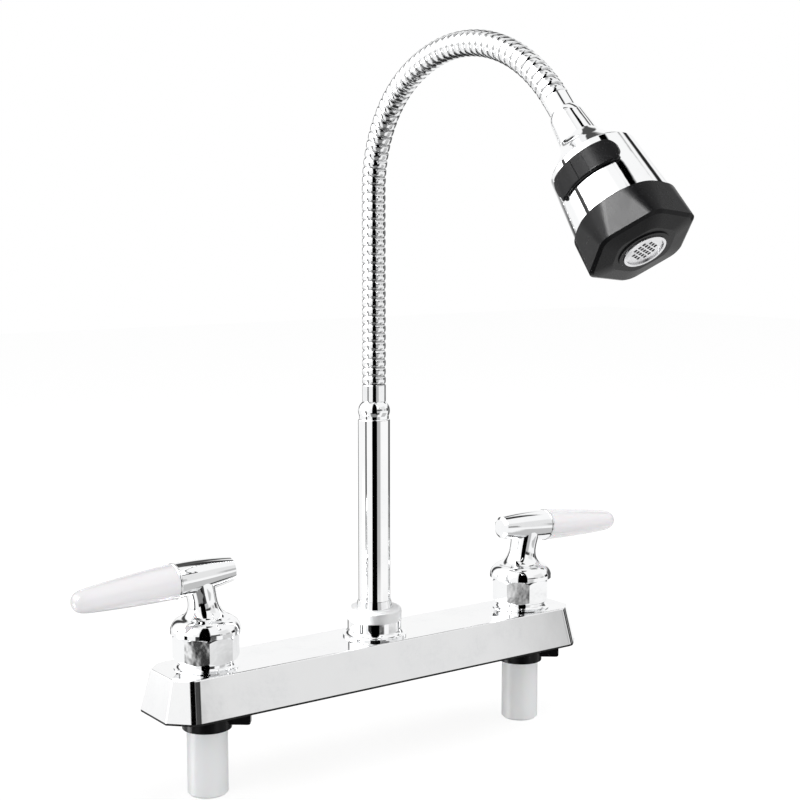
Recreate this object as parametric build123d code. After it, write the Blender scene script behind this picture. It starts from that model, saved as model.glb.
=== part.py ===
from build123d import *
import math
import os

# Two handle kitchen faucet with a bendable ribbed gooseneck and a two-way spray head.
# Millimetres. +Z is up, X runs along the deck cover and the spout reaches towards -Y.
# The origin is the centre of the gasket's underside, where the faucet stands on the deck.

# --- Fits ---------------------------------------------------------------------------------
RUNNING = 0.08                # radial clearance of a shaft that turns or slides in its bore
SEAT = 0.1                    # radial clearance of a fixed piece in its seat
PASSING = 0.3                 # gap between surfaces of two bodies that pass each other
OVERCUT = 1.0                 # cutters run this far past the face they cut

# --- Deck cover and gasket ----------------------------------------------------------------
INLET_CENTRES = 203.2         # 8 inch centres of the two inlets
COVER_REACH = 29.65           # from a valve's axis to the end of the cover
COVER_WIDTH = 48.2
COVER_HEIGHT = 20.0
COVER_DRAFT = 4.9             # the top is this much inside the foot on every side
COVER_CORNER = 10.7           # cut corner of the foot outline
COVER_SIDE_ROUND = 7.5        # rounding between a cut corner and a long side
COVER_END_ROUND = 0.9         # rounding between a cut corner and an end
COVER_EDGE_ROUND = 0.8
COVER_WALL = 2.2
GASKET_THICKNESS = 1.0
GASKET_RIM = 4.6

# --- Valve bodies -------------------------------------------------------------------------
BODY_FOOT = 1.2               # height of the mouldings' underside above the deck
BLOCK_LEDGE = 2.5             # block beyond the neck
NECK_WALL = 1.9
NECK_HEIGHT = 10.0            # neck above the cover
NECK_HOLE_GAP = 0.4
SHANK_RADIUS = 10.25
SHANK_DEPTH = 43.8            # below the deck plane
SHANK_CHAMFER = 1.0
SHANK_ROOT_STEP = 0.35        # smooth root beyond the thread
SHANK_ROOT_REACH = 0.3        # smooth root below the wing nut
INLET_RADIUS = 6.5
SEAT_HEIGHT = 4.0
PORT_HEIGHT = 9.5
BOSS_RADIUS = 7.4
BOSS_REACH = 22.0
PORT_DEPTH = 8.0
CROSS_TUBE_RADIUS = 5.0
CROSS_TUBE_WALL = 1.0
PORT_SEAL = 1.4               # thickness of a port's seal
PORT_SEAL_WIDTH = 2.0

# --- Valve cartridge ----------------------------------------------------------------------
CARTRIDGE_RADIUS = 9.5
CARTRIDGE_FLANGE = 2.5
CARTRIDGE_NOSE_WALL = 2.9
CARTRIDGE_WALL = 1.4
CAVITY_DEPTH = 10.5
SEAL_THICKNESS = 1.5
DISC_THICKNESS = 3.0
DISC_PORT_RADIUS = 2.3
DISC_PORT_OFFSET = 4.6
STEM_RADIUS = 4.0
STEM_FLANGE_ROOM = 1.7        # between the stem's flange and the cavity
STEM_FLANGE = 2.5
STEM_SQUARE = 6.4             # across the flats of the driving end
STEM_TOP = 56.0
STEM_GROOVE_HEIGHT = 25.0
PEG_RADIUS = 1.2
PEG_OFFSET = 4.4
PEG_LENGTH = 1.5
SEAL_GROOVE_DEPTH = 0.8
SEAL_GROOVE_WIDTH = 2.0

# --- Collars, nuts and shank nuts ---------------------------------------------------------
COLLAR_WALL = 2.0
COLLAR_FOOT_STEP = 2.6        # foot beyond the collar
COLLAR_FOOT = 0.4             # height of the foot's edge
COLLAR_FLARE = 2.2            # height at which the foot has run into the collar
COLLAR_FLARE_SHARE = 0.25     # of the foot's step that is left at half that height
COLLAR_HEIGHT = 3.9
NUT_SIDES = 8
NUT_RIM = 5.1                 # from the valve's neck to the nut's corners
NUT_HEIGHT = 13.3
NUT_CHAMFER = 1.6
NUT_HOLE_GAP = 0.4
WING_HUB_WALL = 1.7
WING_HUB_HEIGHT = 9.5
WING_DROP = 0.5               # gap between the deck plane and the nut
WING_ROOT = 1.0               # from the nut's top to its wings
WING_SPAN_RADIUS = 22.0
WING_THICKNESS = 4.0
WING_HEIGHT = 6.8
WING_ANGLE = -38.0

# --- Lever handles ------------------------------------------------------------------------
DOME_RADIUS = 17.4
DOME_BAND = 2.0               # height of the dome's straight rim
DOME_GAP = 0.3                # above the nut
DOME_RISE = 14.5              # from the dome's underside to the neck
DOME_SHOULDER = (0.92, 0.345)   # points of the profile, as shares of radius and rise
DOME_CROWN = (0.725, 0.517)
HANDLE_NECK = (               # radius, height above the underside, shift towards the grip
    (9.2, 10.2, 0.3),
    (7.8, 13.2, 0.9),
    (7.4, 17.0, 1.7),
    (7.6, 21.0, 2.6),
)
HANDLE_NECK_SHIFT = 4.0       # shift at the height of the lever
DOME_RECESS_RADIUS = 13.0
DOME_RECESS = 3.5
HANDLE_NECK_RADIUS = 7.7
LEVER_HEIGHT = 67.3           # lever axis above the deck, at the valve axis
LEVER_DROOP = 3.6
BARREL_BACK = -14.3           # inboard end of the barrel, along the lever
BARREL_BACK_RADIUS = 6.0
BARREL_MIDDLE_RADIUS = 7.9
BARREL_FRONT = 16.3
BARREL_FRONT_RADIUS = 8.5
PLUG_LENGTH = 1.2
PLUG_FACE_RADIUS = 4.5
PLUG_STEM_RADIUS = 3.4
PLUG_STEM = 4.0
RING_LENGTH = 1.4
RING_PROUD = 0.4              # grip ring beyond the barrel
GRIP_PROUD = 0.1              # grip's root beyond the barrel
GRIP_WAIST_RADIUS = 7.7
GRIP_NECK_RADIUS = 6.1
GRIP_NECK = 61.0              # where the rounded tip begins, along the lever
GRIP_TIP = 70.3
STUD_RADIUS = 2.9
STUD_INNER = 6.0
STUD_OUTER = 52.0
SCREW_RADIUS = 2.0
SCREW_INSET = 0.6             # screw's end below the surface of the neck
SCREW_HEIGHT = 52.5

# --- Spout foot and tube ------------------------------------------------------------------
HUB_NECK_WALL = 3.5           # from the spout tube to the outside of the hub's neck
HUB_NECK_HEIGHT = 9.0         # above the cover
HUB_FLOOR = 4.0
HUB_CHAMBER_STEP = 1.5
TUBE_RADIUS = 8.5
TUBE_WALL = 1.6
TUBE_BOTTOM = 14.5
TUBE_TOP = 137.0
TUBE_TOP_ROUND = 0.8
TUBE_SEAL_HEIGHTS = (18.0, 23.0)
CLIP_REACH = 2.3              # clip beyond the tube
CLIP_THICKNESS = 0.9
CLIP_GROOVE_DEPTH = 0.7
CLIP_SLOT = 4.0
SPOUT_NUT_WALL = 2.3
SPOUT_NUT_FOOT_STEP = 2.8     # foot beyond the nut
SPOUT_NUT_FOOT = 1.0
SPOUT_NUT_FLARE = 2.2
SPOUT_NUT_FLARE_POINT = (0.9, 0.77)   # beyond the nut, above the foot's edge
SPOUT_NUT_HEIGHT = 15.0
SPOUT_NUT_ROUND = 2.0
BUSH_WALL = 2.2               # bush beyond the tube
BUSH_LIP_WALL = 1.0
BUSH_LIP_TIP = 0.45
BUSH_LIP = 4.0
BUSH_SHOULDER = 1.2

# --- Gooseneck hose -----------------------------------------------------------------------
FERRULE_HEIGHT = 9.0
FERRULE_GROOVE_STEP = 0.6     # groove inside the tube's outline
FERRULE_GROOVE = 1.53         # height of the groove
FERRULE_BULGE_STEP = 0.05
FERRULE_BULGE = 3.78          # height of the widest place
FERRULE_SPIGOT = 12.0
HOSE_RADIUS = 6.25
HOSE_GROOVE = 0.6
HOSE_BORE_RADIUS = 3.2
HOSE_CORE_WALL = 1.4          # wall of the plain ends that sit in the ferrules
HOSE_CORE_LENGTH = 6.0
HOSE_STRAIGHT = 109.4
HOSE_BENDS = ((65.0, 62.0), (86.45, 77.3))   # radius and angle of the two arcs
SLEEVE_RIBS = 2               # pitches at the foot that a plain crimped sleeve takes
RIB_COUNT = 66
RIB_CREST = 0.6               # share of the pitch that a crest takes
RIBS_PER_SEGMENT = 11
BALL_COVER = 0.65             # wall of a socket at the hose's crest
SOCKET_LIP = 2.0              # socket reaches this far below the ball's centre
BALL_NECK = 3.5               # clear length below the ball's centre

# --- Spray head, measured along its axis from the end of the hose --------------------------
HEAD_SELECTOR_ROLL = 24.5     # selector's direction, from -X towards the front
NOZZLE_FLAT_ROLL = 38.5       # direction of the nozzle ring's front flat
END_FERRULE = 8.0
END_FERRULE_PROUD = 0.05      # beyond the hose
SWIVEL_WALL = 1.3
SWIVEL_END = 21.0
SWIVEL_FLANGE_REACH = 1.6
SWIVEL_FLANGE = 2.0
SWIVEL_SEAL = 13.5
CONE_WAIST = 12.6
CONE_WAIST_REACH = 2.0        # waist beyond the spigot's flange
CONE_TOP_PROUD = 0.6          # top beyond the ferrule
CONE_TOP_BULGE = 0.25
CONE_END = 24.0
CONE_END_STEP = 1.4           # end beyond the skirt
CONE_SKIRT_WALL = 1.6
CONE_SKIRT_END = 33.0
SHELL_WALL = 1.8
SHELL_FLARE_RISE = 7.6        # neck of the shell: from the cone's end to the shoulder
SHELL_FLARE_RADIUS = 14.4
SHELL_FLARE_POINT = (0.42, 0.52)      # middle of the flare, as shares of its width and rise
SHELL_CORNER = 38.0           # shoulder of the shell
SHELL_CORNER_RADIUS = 20.2
SHELL_CORNER_ROUND = 1.0
SHELL_CORNER_POINT = (0.25, 0.55)     # middle of the rounding, as shares of it
SHELL_END = 67.5
SHELL_END_RADIUS = 22.9
CORE_RADIUS = 14.0
CORE_TOP = 30.5
CORE_SOCKET_WALL = 2.1
CORE_FLANGE_INSET = 5.5       # flange's top inside the shell's end
CORE_FLANGE_THICKNESS = 3.5
CORE_TAIL = 7.5               # core beyond the shell's end
CORE_TAIL_WALL = 7.2
SPOOL_RADIUS = 5.12
SPOOL_WAIST_RADIUS = 2.4
SPOOL_HEAD = 4.0              # from the spool's top to the arm
SPOOL_LENGTH = 16.0
SPOOL_LAND = 2.0              # ring at the spool's lower end
SPOOL_LOWER_WAIST = 3.0       # height of the waist above it
SPOOL_LOWER_WAIST_RADIUS = 3.36
SPOOL_PLAY = 0.7
ROCKER_DROP = 3.3             # from the shoulder to the selector
ROCKER_HEIGHT = 11.8
ROCKER_HALF_WIDTH = 16.0
ROCKER_PROUD = 1.6
ROCKER_GAP = 0.35
ROCKER_CORNER = 5.0
ROCKER_EDGE = 0.8
ROCKER_LINE_OFFSET = 2.9
ROCKER_LINE = 0.5
PIVOT_RISE = 1.3              # pivot above the selector's lower edge
PIVOT_INSET = 2.8             # pivot inside the shell's shoulder
PIN_RADIUS = 1.5
PIN_INNER = 10.6
PIN_INSET = 1.0               # pin's root inside the selector's side
PIN_ROOM = 1.5                # empty depth beyond a pin's end
ARM_RISE = 7.6                # selector's inner arm above the pivot
ARM_THICKNESS = 3.0
ARM_WIDTH = 4.8
ARM_TIP = 3.0                 # distance of its tip from the head's axis
ARM_ROOM = (1.0, 2.0)         # room of the window above and below the arm
NOZZLE_FLATS = 15.1           # height of the flats
NOZZLE_BEVEL = 1.1            # height of the edge below them
NOZZLE_SLOPE = 1.3            # height of the sloping face
NOZZLE_EDGE_FLAT = 22.2       # from the axis to a flat
NOZZLE_FACE_FLAT = 20.6
NOZZLE_END_WALL = 4.0
NOZZLE_TOP_ROUND = 17.0
NOZZLE_EDGE_ROUND = 7.0
NOZZLE_LEDGE_WALL = 2.0
NOZZLE_LEDGE = 0.6
AERATOR_RADIUS = 9.6
AERATOR_PROUD = 1.1           # beyond the nozzle's sloping face
AERATOR_WALL = 1.1
AERATOR_FLANGE_REACH = 3.9
AERATOR_FLANGE = 2.0
GASKET_SEAT = 2.0             # height of the flat gasket above it
NOZZLE_GASKET_INSET = 0.4     # gasket's rim inside the core's
SCREEN_THICKNESS = 0.8
SCREEN_RECESS = 0.7
SCREEN_PITCH = 2.2
SCREEN_HOLE = 1.5

# --- Sizes that follow --------------------------------------------------------------------
BASE = (Align.CENTER, Align.CENTER, Align.MIN)
COVER_LENGTH = INLET_CENTRES + 2 * COVER_REACH
COVER_TOP = GASKET_THICKNESS + COVER_HEIGHT
NECK_RADIUS = CARTRIDGE_RADIUS + SEAT + NECK_WALL
BLOCK_RADIUS = NECK_RADIUS + BLOCK_LEDGE
SHANK_ROOT_RADIUS = SHANK_RADIUS + SHANK_ROOT_STEP
SHANK_ROOT_DEPTH = WING_DROP + WING_HUB_HEIGHT + SHANK_ROOT_REACH
PORT_SEAL_RADIUS = CROSS_TUBE_RADIUS + PORT_SEAL
CARTRIDGE_FLANGE_RADIUS = NECK_RADIUS - 2 * SEAT
CARTRIDGE_NOSE_RADIUS = STEM_RADIUS + CARTRIDGE_NOSE_WALL
CAVITY_RADIUS = CARTRIDGE_RADIUS - CARTRIDGE_WALL
STEM_FLANGE_RADIUS = CAVITY_RADIUS - STEM_FLANGE_ROOM
COLLAR_RADIUS = NECK_RADIUS + SEAT + COLLAR_WALL
COLLAR_FOOT_RADIUS = COLLAR_RADIUS + COLLAR_FOOT_STEP
NUT_CORNER_RADIUS = NECK_RADIUS + NUT_RIM
NUT_HOLE_RADIUS = CARTRIDGE_NOSE_RADIUS + NUT_HOLE_GAP
WING_HUB_RADIUS = SHANK_ROOT_RADIUS + SEAT + WING_HUB_WALL
RING_RADIUS = BARREL_FRONT_RADIUS + RING_PROUD
GRIP_ROOT_RADIUS = BARREL_FRONT_RADIUS + GRIP_PROUD
HUB_NECK_RADIUS = TUBE_RADIUS + HUB_NECK_WALL
HUB_CHAMBER_RADIUS = TUBE_RADIUS - HUB_CHAMBER_STEP
CLIP_RADIUS = TUBE_RADIUS + CLIP_REACH
BUSH_RADIUS = TUBE_RADIUS + BUSH_WALL
BUSH_LIP_RADIUS = TUBE_RADIUS + BUSH_LIP_WALL
BUSH_LIP_TIP_RADIUS = TUBE_RADIUS + BUSH_LIP_TIP
SPOUT_NUT_RADIUS = HUB_NECK_RADIUS + SEAT + SPOUT_NUT_WALL
SPOUT_NUT_FOOT_RADIUS = SPOUT_NUT_RADIUS + SPOUT_NUT_FOOT_STEP
FERRULE_GROOVE_RADIUS = TUBE_RADIUS - FERRULE_GROOVE_STEP
FERRULE_BULGE_RADIUS = TUBE_RADIUS - FERRULE_BULGE_STEP
HOSE_CORE_RADIUS = HOSE_BORE_RADIUS + HOSE_CORE_WALL
BALL_RADIUS = HOSE_RADIUS - PASSING - BALL_COVER
END_FERRULE_RADIUS = HOSE_RADIUS + END_FERRULE_PROUD
SWIVEL_RADIUS = HOSE_BORE_RADIUS + SWIVEL_WALL
SWIVEL_FLANGE_RADIUS = SWIVEL_RADIUS + SWIVEL_FLANGE_REACH
CONE_TOP_RADIUS = END_FERRULE_RADIUS + CONE_TOP_PROUD
CONE_WAIST_RADIUS = SWIVEL_FLANGE_RADIUS + CONE_WAIST_REACH
CONE_SKIRT_RADIUS = SWIVEL_FLANGE_RADIUS + PASSING + CONE_SKIRT_WALL
CONE_END_RADIUS = CONE_SKIRT_RADIUS + CONE_END_STEP
CORE_SOCKET_RADIUS = CONE_SKIRT_RADIUS + SEAT + CORE_SOCKET_WALL
CORE_FLANGE = SHELL_END - CORE_FLANGE_INSET
CORE_FLANGE_END = CORE_FLANGE + CORE_FLANGE_THICKNESS
CORE_END = SHELL_END + CORE_TAIL
CORE_END_RADIUS = AERATOR_RADIUS + CORE_TAIL_WALL
ROCKER_TOP = SHELL_CORNER + ROCKER_DROP
ROCKER_END = ROCKER_TOP + ROCKER_HEIGHT
PIVOT = ROCKER_END - PIVOT_RISE
PIVOT_OFFSET = SHELL_CORNER_RADIUS - PIVOT_INSET
ARM = PIVOT - ARM_RISE
SPOOL_TOP = ARM - SPOOL_HEAD
NOZZLE_TOP = SHELL_END + PASSING
NOZZLE_TOP_FLAT = SHELL_END_RADIUS
NOZZLE_EDGE = NOZZLE_TOP + NOZZLE_FLATS
NOZZLE_FACE = NOZZLE_EDGE + NOZZLE_BEVEL
NOZZLE_END = NOZZLE_FACE + NOZZLE_SLOPE
NOZZLE_END_FLAT = AERATOR_RADIUS + NOZZLE_END_WALL
NOZZLE_LEDGE_RADIUS = AERATOR_RADIUS + NOZZLE_LEDGE_WALL
NOZZLE_FLOOR = CORE_END + GASKET_SEAT + AERATOR_FLANGE
AERATOR_END = NOZZLE_END + AERATOR_PROUD
AERATOR_FLANGE_RADIUS = AERATOR_RADIUS + AERATOR_FLANGE_REACH
BLOCK_TOP = COVER_TOP - COVER_WALL - SEAT
NECK_TOP = COVER_TOP + NECK_HEIGHT
STACK_BASE = SEAT_HEIGHT + SEAL_THICKNESS
CAVITY_TOP = STACK_BASE + CAVITY_DEPTH
FLANGE_TOP = NECK_TOP + CARTRIDGE_FLANGE
COLLAR_TOP = COVER_TOP + COLLAR_HEIGHT
NUT_TOP = COLLAR_TOP + NUT_HEIGHT
DOME_FOOT = NUT_TOP + DOME_GAP
HUB_TOP = COVER_TOP + HUB_NECK_HEIGHT
HOSE_FOOT = TUBE_TOP + FERRULE_HEIGHT
HOSE_LENGTH = HOSE_STRAIGHT + sum(radius * math.radians(turn) for radius, turn in HOSE_BENDS)
HOSE_TURN = sum(turn for _, turn in HOSE_BENDS)
RIB_PITCH = HOSE_LENGTH / RIB_COUNT
SEGMENT_COUNT = RIB_COUNT // RIBS_PER_SEGMENT
GROOVE_RADIUS = HOSE_RADIUS - HOSE_GROOVE
SOCKET_RADIUS = BALL_RADIUS + PASSING

saved = []


def save(name, shape):
    """Write one sub-part."""
    export_step(shape, f"parts/{name}.step")
    saved.append(name)
    print(f"{name:22s} {len(shape.solids())} solid(s) {shape.volume:10.1f} mm3")


def post(radius, bottom, top):
    """Round bar along Z between two heights."""
    return Pos(0, 0, bottom) * Cylinder(radius, top - bottom, align=BASE)


def ring(outer, inner, bottom, top):
    """Round ring along Z between two heights."""
    return post(outer, bottom, top) - post(inner, bottom, top)


def bar(radius, start, end, height=0.0):
    """Round bar along X between two places."""
    return Pos(start, 0, height) * Rot(0, 90, 0) * Cylinder(radius, end - start, align=BASE)


def block(x_range, y_range, z_range):
    """Rectangular block between two corners."""
    size = [high - low for low, high in (x_range, y_range, z_range)]
    centre = [(high + low) / 2 for low, high in (x_range, y_range, z_range)]
    return Pos(*centre) * Box(*size)


def turned(*edges):
    """Solid of revolution about Z from a closed outline of edges in the XZ plane."""
    return revolve(make_face(Curve(edges)), Axis.Z)


def line(*points):
    """Straight stretches through (radius, height) points in the XZ plane."""
    return Polyline(*[(radius, 0, height) for radius, height in points])


def curve(start, middle, end):
    """Arc through three (radius, height) points in the XZ plane."""
    return ThreePointArc(*[(radius, 0, height) for radius, height in (start, middle, end)])


def lathe(*points):
    """Solid of revolution about Z from straight stretches."""
    return turned(line(*points, points[0]))


def arc_inset(radius):
    """How far the middle of a quarter arc lies inside the corner that it rounds."""
    return radius * (1 - math.sqrt(0.5))


def save_pair(name, shape, axis_x=INLET_CENTRES / 2):
    """Write a piece of the right valve and its mirror image on the left."""
    right = Pos(axis_x, 0, 0) * shape
    save("right_" + name, right)
    save("left_" + name, mirror(right, about=Plane.YZ))


# --- Deck cover ---------------------------------------------------------------------------
def cover_outline(inset, height):
    """Rectangle with cut and rounded corners, drawn in evenly from the foot outline."""
    corner = COVER_CORNER - inset * (2 - math.sqrt(2))
    outline = Rectangle(COVER_LENGTH - 2 * inset, COVER_WIDTH - 2 * inset)
    outline = chamfer(outline.vertices(), corner)
    cut_middle = COVER_LENGTH / 2 - inset - corner / 2
    outline = fillet([v for v in outline.vertices() if abs(v.X) < cut_middle], COVER_SIDE_ROUND)
    outline = fillet([v for v in outline.vertices() if abs(v.X) > cut_middle], COVER_END_ROUND)
    return Pos(0, 0, height) * outline


def deck_cover():
    """Drafted shell, open below, with holes for the valve necks and the spout hub."""
    foot = cover_outline(0, GASKET_THICKNESS)
    top = cover_outline(COVER_DRAFT, COVER_TOP)
    shell = loft([foot, top], ruled=True)
    shell = fillet(shell.faces().sort_by(Axis.Z)[-1].edges(), COVER_EDGE_ROUND)
    inner_top = COVER_TOP - COVER_WALL
    inner_draft = COVER_WALL + COVER_DRAFT * (COVER_HEIGHT - COVER_WALL) / COVER_HEIGHT
    hollow = loft(
        [cover_outline(COVER_WALL, GASKET_THICKNESS), cover_outline(inner_draft, inner_top)],
        ruled=True,
    )
    shell -= hollow
    for x in (-INLET_CENTRES / 2, INLET_CENTRES / 2):
        shell -= Pos(x, 0, 0) * post(NECK_RADIUS + NECK_HOLE_GAP, inner_top, COVER_TOP)
    shell -= post(HUB_NECK_RADIUS + NECK_HOLE_GAP, inner_top, COVER_TOP)
    return shell


def base_gasket():
    """Flat rubber rim under the cover's edge."""
    rim = cover_outline(0, 0) - cover_outline(GASKET_RIM, 0)
    return extrude(rim, GASKET_THICKNESS)


# --- Valve bodies, hub and cross tubes ----------------------------------------------------
def port_cut(direction):
    """Stepped port for a cross tube and its seal, along +X or -X."""
    seat = BOSS_REACH - PORT_DEPTH
    cut = bar(CROSS_TUBE_RADIUS - CROSS_TUBE_WALL, 0, BOSS_REACH, PORT_HEIGHT)
    cut += bar(CROSS_TUBE_RADIUS + SEAT, seat, BOSS_REACH, PORT_HEIGHT)
    cut += bar(PORT_SEAL_RADIUS, BOSS_REACH - PORT_SEAL_WIDTH, BOSS_REACH, PORT_HEIGHT)
    return cut if direction > 0 else Rot(0, 0, 180) * cut


def valve_body():
    """Moulding with the threaded shank, the cartridge's bore and a side port."""
    body = post(BLOCK_RADIUS, BODY_FOOT, BLOCK_TOP)
    body += post(NECK_RADIUS, BLOCK_TOP, NECK_TOP)
    body += post(SHANK_ROOT_RADIUS, -SHANK_ROOT_DEPTH, BODY_FOOT)
    body += lathe(
        (0, -SHANK_ROOT_DEPTH),
        (SHANK_RADIUS, -SHANK_ROOT_DEPTH),
        (SHANK_RADIUS, SHANK_CHAMFER - SHANK_DEPTH),
        (SHANK_RADIUS - SHANK_CHAMFER, -SHANK_DEPTH),
        (0, -SHANK_DEPTH),
    )
    body += bar(BOSS_RADIUS, -BOSS_REACH, 0, PORT_HEIGHT)
    body -= post(INLET_RADIUS, -SHANK_DEPTH, SEAT_HEIGHT)
    body -= post(CARTRIDGE_RADIUS + SEAT, SEAT_HEIGHT, NECK_TOP)
    return body - port_cut(-1)


def center_hub():
    """Moulding that takes both cross tubes and holds the spout tube."""
    hub = post(BLOCK_RADIUS, BODY_FOOT, BLOCK_TOP)
    hub += post(HUB_NECK_RADIUS, BLOCK_TOP, HUB_TOP)
    hub += bar(BOSS_RADIUS, -BOSS_REACH, BOSS_REACH, PORT_HEIGHT)
    hub -= post(HUB_CHAMBER_RADIUS, HUB_FLOOR, TUBE_BOTTOM)
    hub -= post(TUBE_RADIUS + RUNNING, TUBE_BOTTOM - PASSING, HUB_TOP)
    return hub - port_cut(-1) - port_cut(1)


def cross_tube():
    """Straight tube from the hub's port to the valve's port, for the right side."""
    start = BOSS_REACH - PORT_DEPTH
    end = INLET_CENTRES / 2 - start
    outer = bar(CROSS_TUBE_RADIUS, start, end, PORT_HEIGHT)
    return outer - bar(CROSS_TUBE_RADIUS - CROSS_TUBE_WALL, start, end, PORT_HEIGHT)


def cross_tube_seals():
    """Four alike seal rings in the mouths of the ports."""
    valve_mouth = INLET_CENTRES / 2 - BOSS_REACH
    starts = (BOSS_REACH - PORT_SEAL_WIDTH, valve_mouth)
    seals = []
    for start in starts:
        end = start + PORT_SEAL_WIDTH
        seal = bar(PORT_SEAL_RADIUS - SEAT / 2, start, end, PORT_HEIGHT)
        seal -= bar(CROSS_TUBE_RADIUS + SEAT / 2, start, end, PORT_HEIGHT)
        seals.append(seal)
        seals.append(mirror(seal, about=Plane.YZ))
    return Compound(children=seals)


# --- Valve cartridge ----------------------------------------------------------------------
def cartridge():
    """Sleeve that holds both discs and guides the stem."""
    sleeve = post(CARTRIDGE_RADIUS, STACK_BASE, NECK_TOP)
    sleeve += post(CARTRIDGE_FLANGE_RADIUS, NECK_TOP, FLANGE_TOP)
    sleeve += post(CARTRIDGE_NOSE_RADIUS, FLANGE_TOP, NUT_TOP)
    sleeve -= post(CAVITY_RADIUS, STACK_BASE, CAVITY_TOP)
    sleeve -= post(STEM_RADIUS + RUNNING, CAVITY_TOP, NUT_TOP)
    half_port = CROSS_TUBE_RADIUS - CROSS_TUBE_WALL
    window = block(
        (-CARTRIDGE_RADIUS, -STEM_FLANGE_RADIUS),
        (-half_port, half_port),
        (PORT_HEIGHT - half_port / 2, PORT_HEIGHT + half_port),
    )
    return sleeve - window


def seat_seals():
    """Two alike seals between the cartridges and their seats."""
    seal = ring(CARTRIDGE_RADIUS - SEAT, INLET_RADIUS, SEAT_HEIGHT, STACK_BASE)
    return Compound(children=[Pos(x, 0, 0) * seal for x in (-INLET_CENTRES / 2, INLET_CENTRES / 2)])


def ported_disc(radius, bottom, angle):
    """Ceramic disc with two round ports on a line at an angle."""
    disc = post(radius, bottom, bottom + DISC_THICKNESS)
    port = Pos(DISC_PORT_OFFSET, 0, 0) * post(DISC_PORT_RADIUS, bottom, bottom + DISC_THICKNESS)
    return disc - Rot(0, 0, angle) * port - Rot(0, 0, angle + 180) * port


def fixed_disc():
    """Lower disc, with its ports along Y."""
    return ported_disc(CAVITY_RADIUS - SEAT, STACK_BASE, 90)


def peg(radius):
    """One of the stem's two driving pegs, on a diagonal between the ports."""
    top = STACK_BASE + 2 * DISC_THICKNESS
    return Rot(0, 0, 45) * Pos(PEG_OFFSET, 0, 0) * post(radius, top - PEG_LENGTH, top)


def moving_disc():
    """Upper disc, with its ports along X when shut and two holes for the stem's pegs."""
    disc = ported_disc(CAVITY_RADIUS - RUNNING, STACK_BASE + DISC_THICKNESS, 0)
    hole = peg(PEG_RADIUS + SEAT)
    return disc - hole - Rot(0, 0, 180) * hole


def stem():
    """Stem with its driving pegs, a seal groove and a square end."""
    bottom = STACK_BASE + 2 * DISC_THICKNESS
    shaft = post(STEM_FLANGE_RADIUS, bottom, bottom + STEM_FLANGE)
    shaft += post(STEM_RADIUS, bottom, DOME_FOOT)
    half = STEM_SQUARE / 2
    square = block((-half, half), (-half, half), (DOME_FOOT, STEM_TOP))
    shaft += square & post(STEM_RADIUS, DOME_FOOT, STEM_TOP)
    shaft += peg(PEG_RADIUS) + Rot(0, 0, 180) * peg(PEG_RADIUS)
    return shaft - groove(STEM_RADIUS, STEM_GROOVE_HEIGHT)


def groove(radius, bottom):
    """Cutter for a seal groove round a shaft."""
    return ring(radius + SEAT, radius - SEAL_GROOVE_DEPTH, bottom, bottom + SEAL_GROOVE_WIDTH)


def groove_seal(radius, bottom):
    """Seal ring that fills such a groove and runs in the shaft's bore."""
    outer = radius + RUNNING / 2
    inner = radius - SEAL_GROOVE_DEPTH + SEAT / 2
    return ring(outer, inner, bottom + SEAT / 2, bottom + SEAL_GROOVE_WIDTH - SEAT / 2)


# --- Collars and nuts ---------------------------------------------------------------------
def collar():
    """Ring with a flared foot between the cover and the bonnet nut."""
    bore = NECK_RADIUS + SEAT
    flare_top = COVER_TOP + COLLAR_FLARE
    middle_radius = COLLAR_RADIUS + COLLAR_FLARE_SHARE * COLLAR_FOOT_STEP
    return turned(
        line(
            (COLLAR_RADIUS, flare_top),
            (COLLAR_RADIUS, COLLAR_TOP),
            (bore, COLLAR_TOP),
            (bore, COVER_TOP),
            (COLLAR_FOOT_RADIUS, COVER_TOP),
            (COLLAR_FOOT_RADIUS, COVER_TOP + COLLAR_FOOT),
        ),
        curve(
            (COLLAR_FOOT_RADIUS, COVER_TOP + COLLAR_FOOT),
            (middle_radius, COVER_TOP + COLLAR_FLARE / 2),
            (COLLAR_RADIUS, flare_top),
        ),
    )


def bonnet_nut():
    """Octagonal nut with turned-off corners that holds the cartridge down."""
    outline = Pos(0, 0, COLLAR_TOP) * RegularPolygon(NUT_CORNER_RADIUS, NUT_SIDES)
    prism = Rot(0, 0, 180 / NUT_SIDES) * extrude(outline, NUT_HEIGHT)
    turned_off = lathe(
        (0, COLLAR_TOP),
        (NUT_CORNER_RADIUS - NUT_CHAMFER, COLLAR_TOP),
        (NUT_CORNER_RADIUS, COLLAR_TOP + NUT_CHAMFER),
        (NUT_CORNER_RADIUS, NUT_TOP - NUT_CHAMFER),
        (NUT_CORNER_RADIUS - NUT_CHAMFER, NUT_TOP),
        (0, NUT_TOP),
    )
    nut = prism & turned_off
    nut -= post(NECK_RADIUS + SEAT, COLLAR_TOP, FLANGE_TOP)
    return nut - post(NUT_HOLE_RADIUS, FLANGE_TOP, NUT_TOP)


def wing_nut():
    """Shank nut with two thumb wings."""
    top = -WING_DROP
    nut = post(WING_HUB_RADIUS, top - WING_HUB_HEIGHT, top)
    wing = block(
        (0, WING_SPAN_RADIUS),
        (-WING_THICKNESS / 2, WING_THICKNESS / 2),
        (top - WING_ROOT - WING_HEIGHT, top - WING_ROOT),
    )
    wing = fillet(wing.edges().filter_by(Axis.Y).sort_by(Axis.X)[-2:], WING_THICKNESS / 3)
    wings = wing + Rot(0, 0, 180) * wing
    nut += Rot(0, 0, WING_ANGLE) * wings
    return nut - post(SHANK_ROOT_RADIUS + SEAT, top - WING_HUB_HEIGHT - OVERCUT, top)


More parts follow.
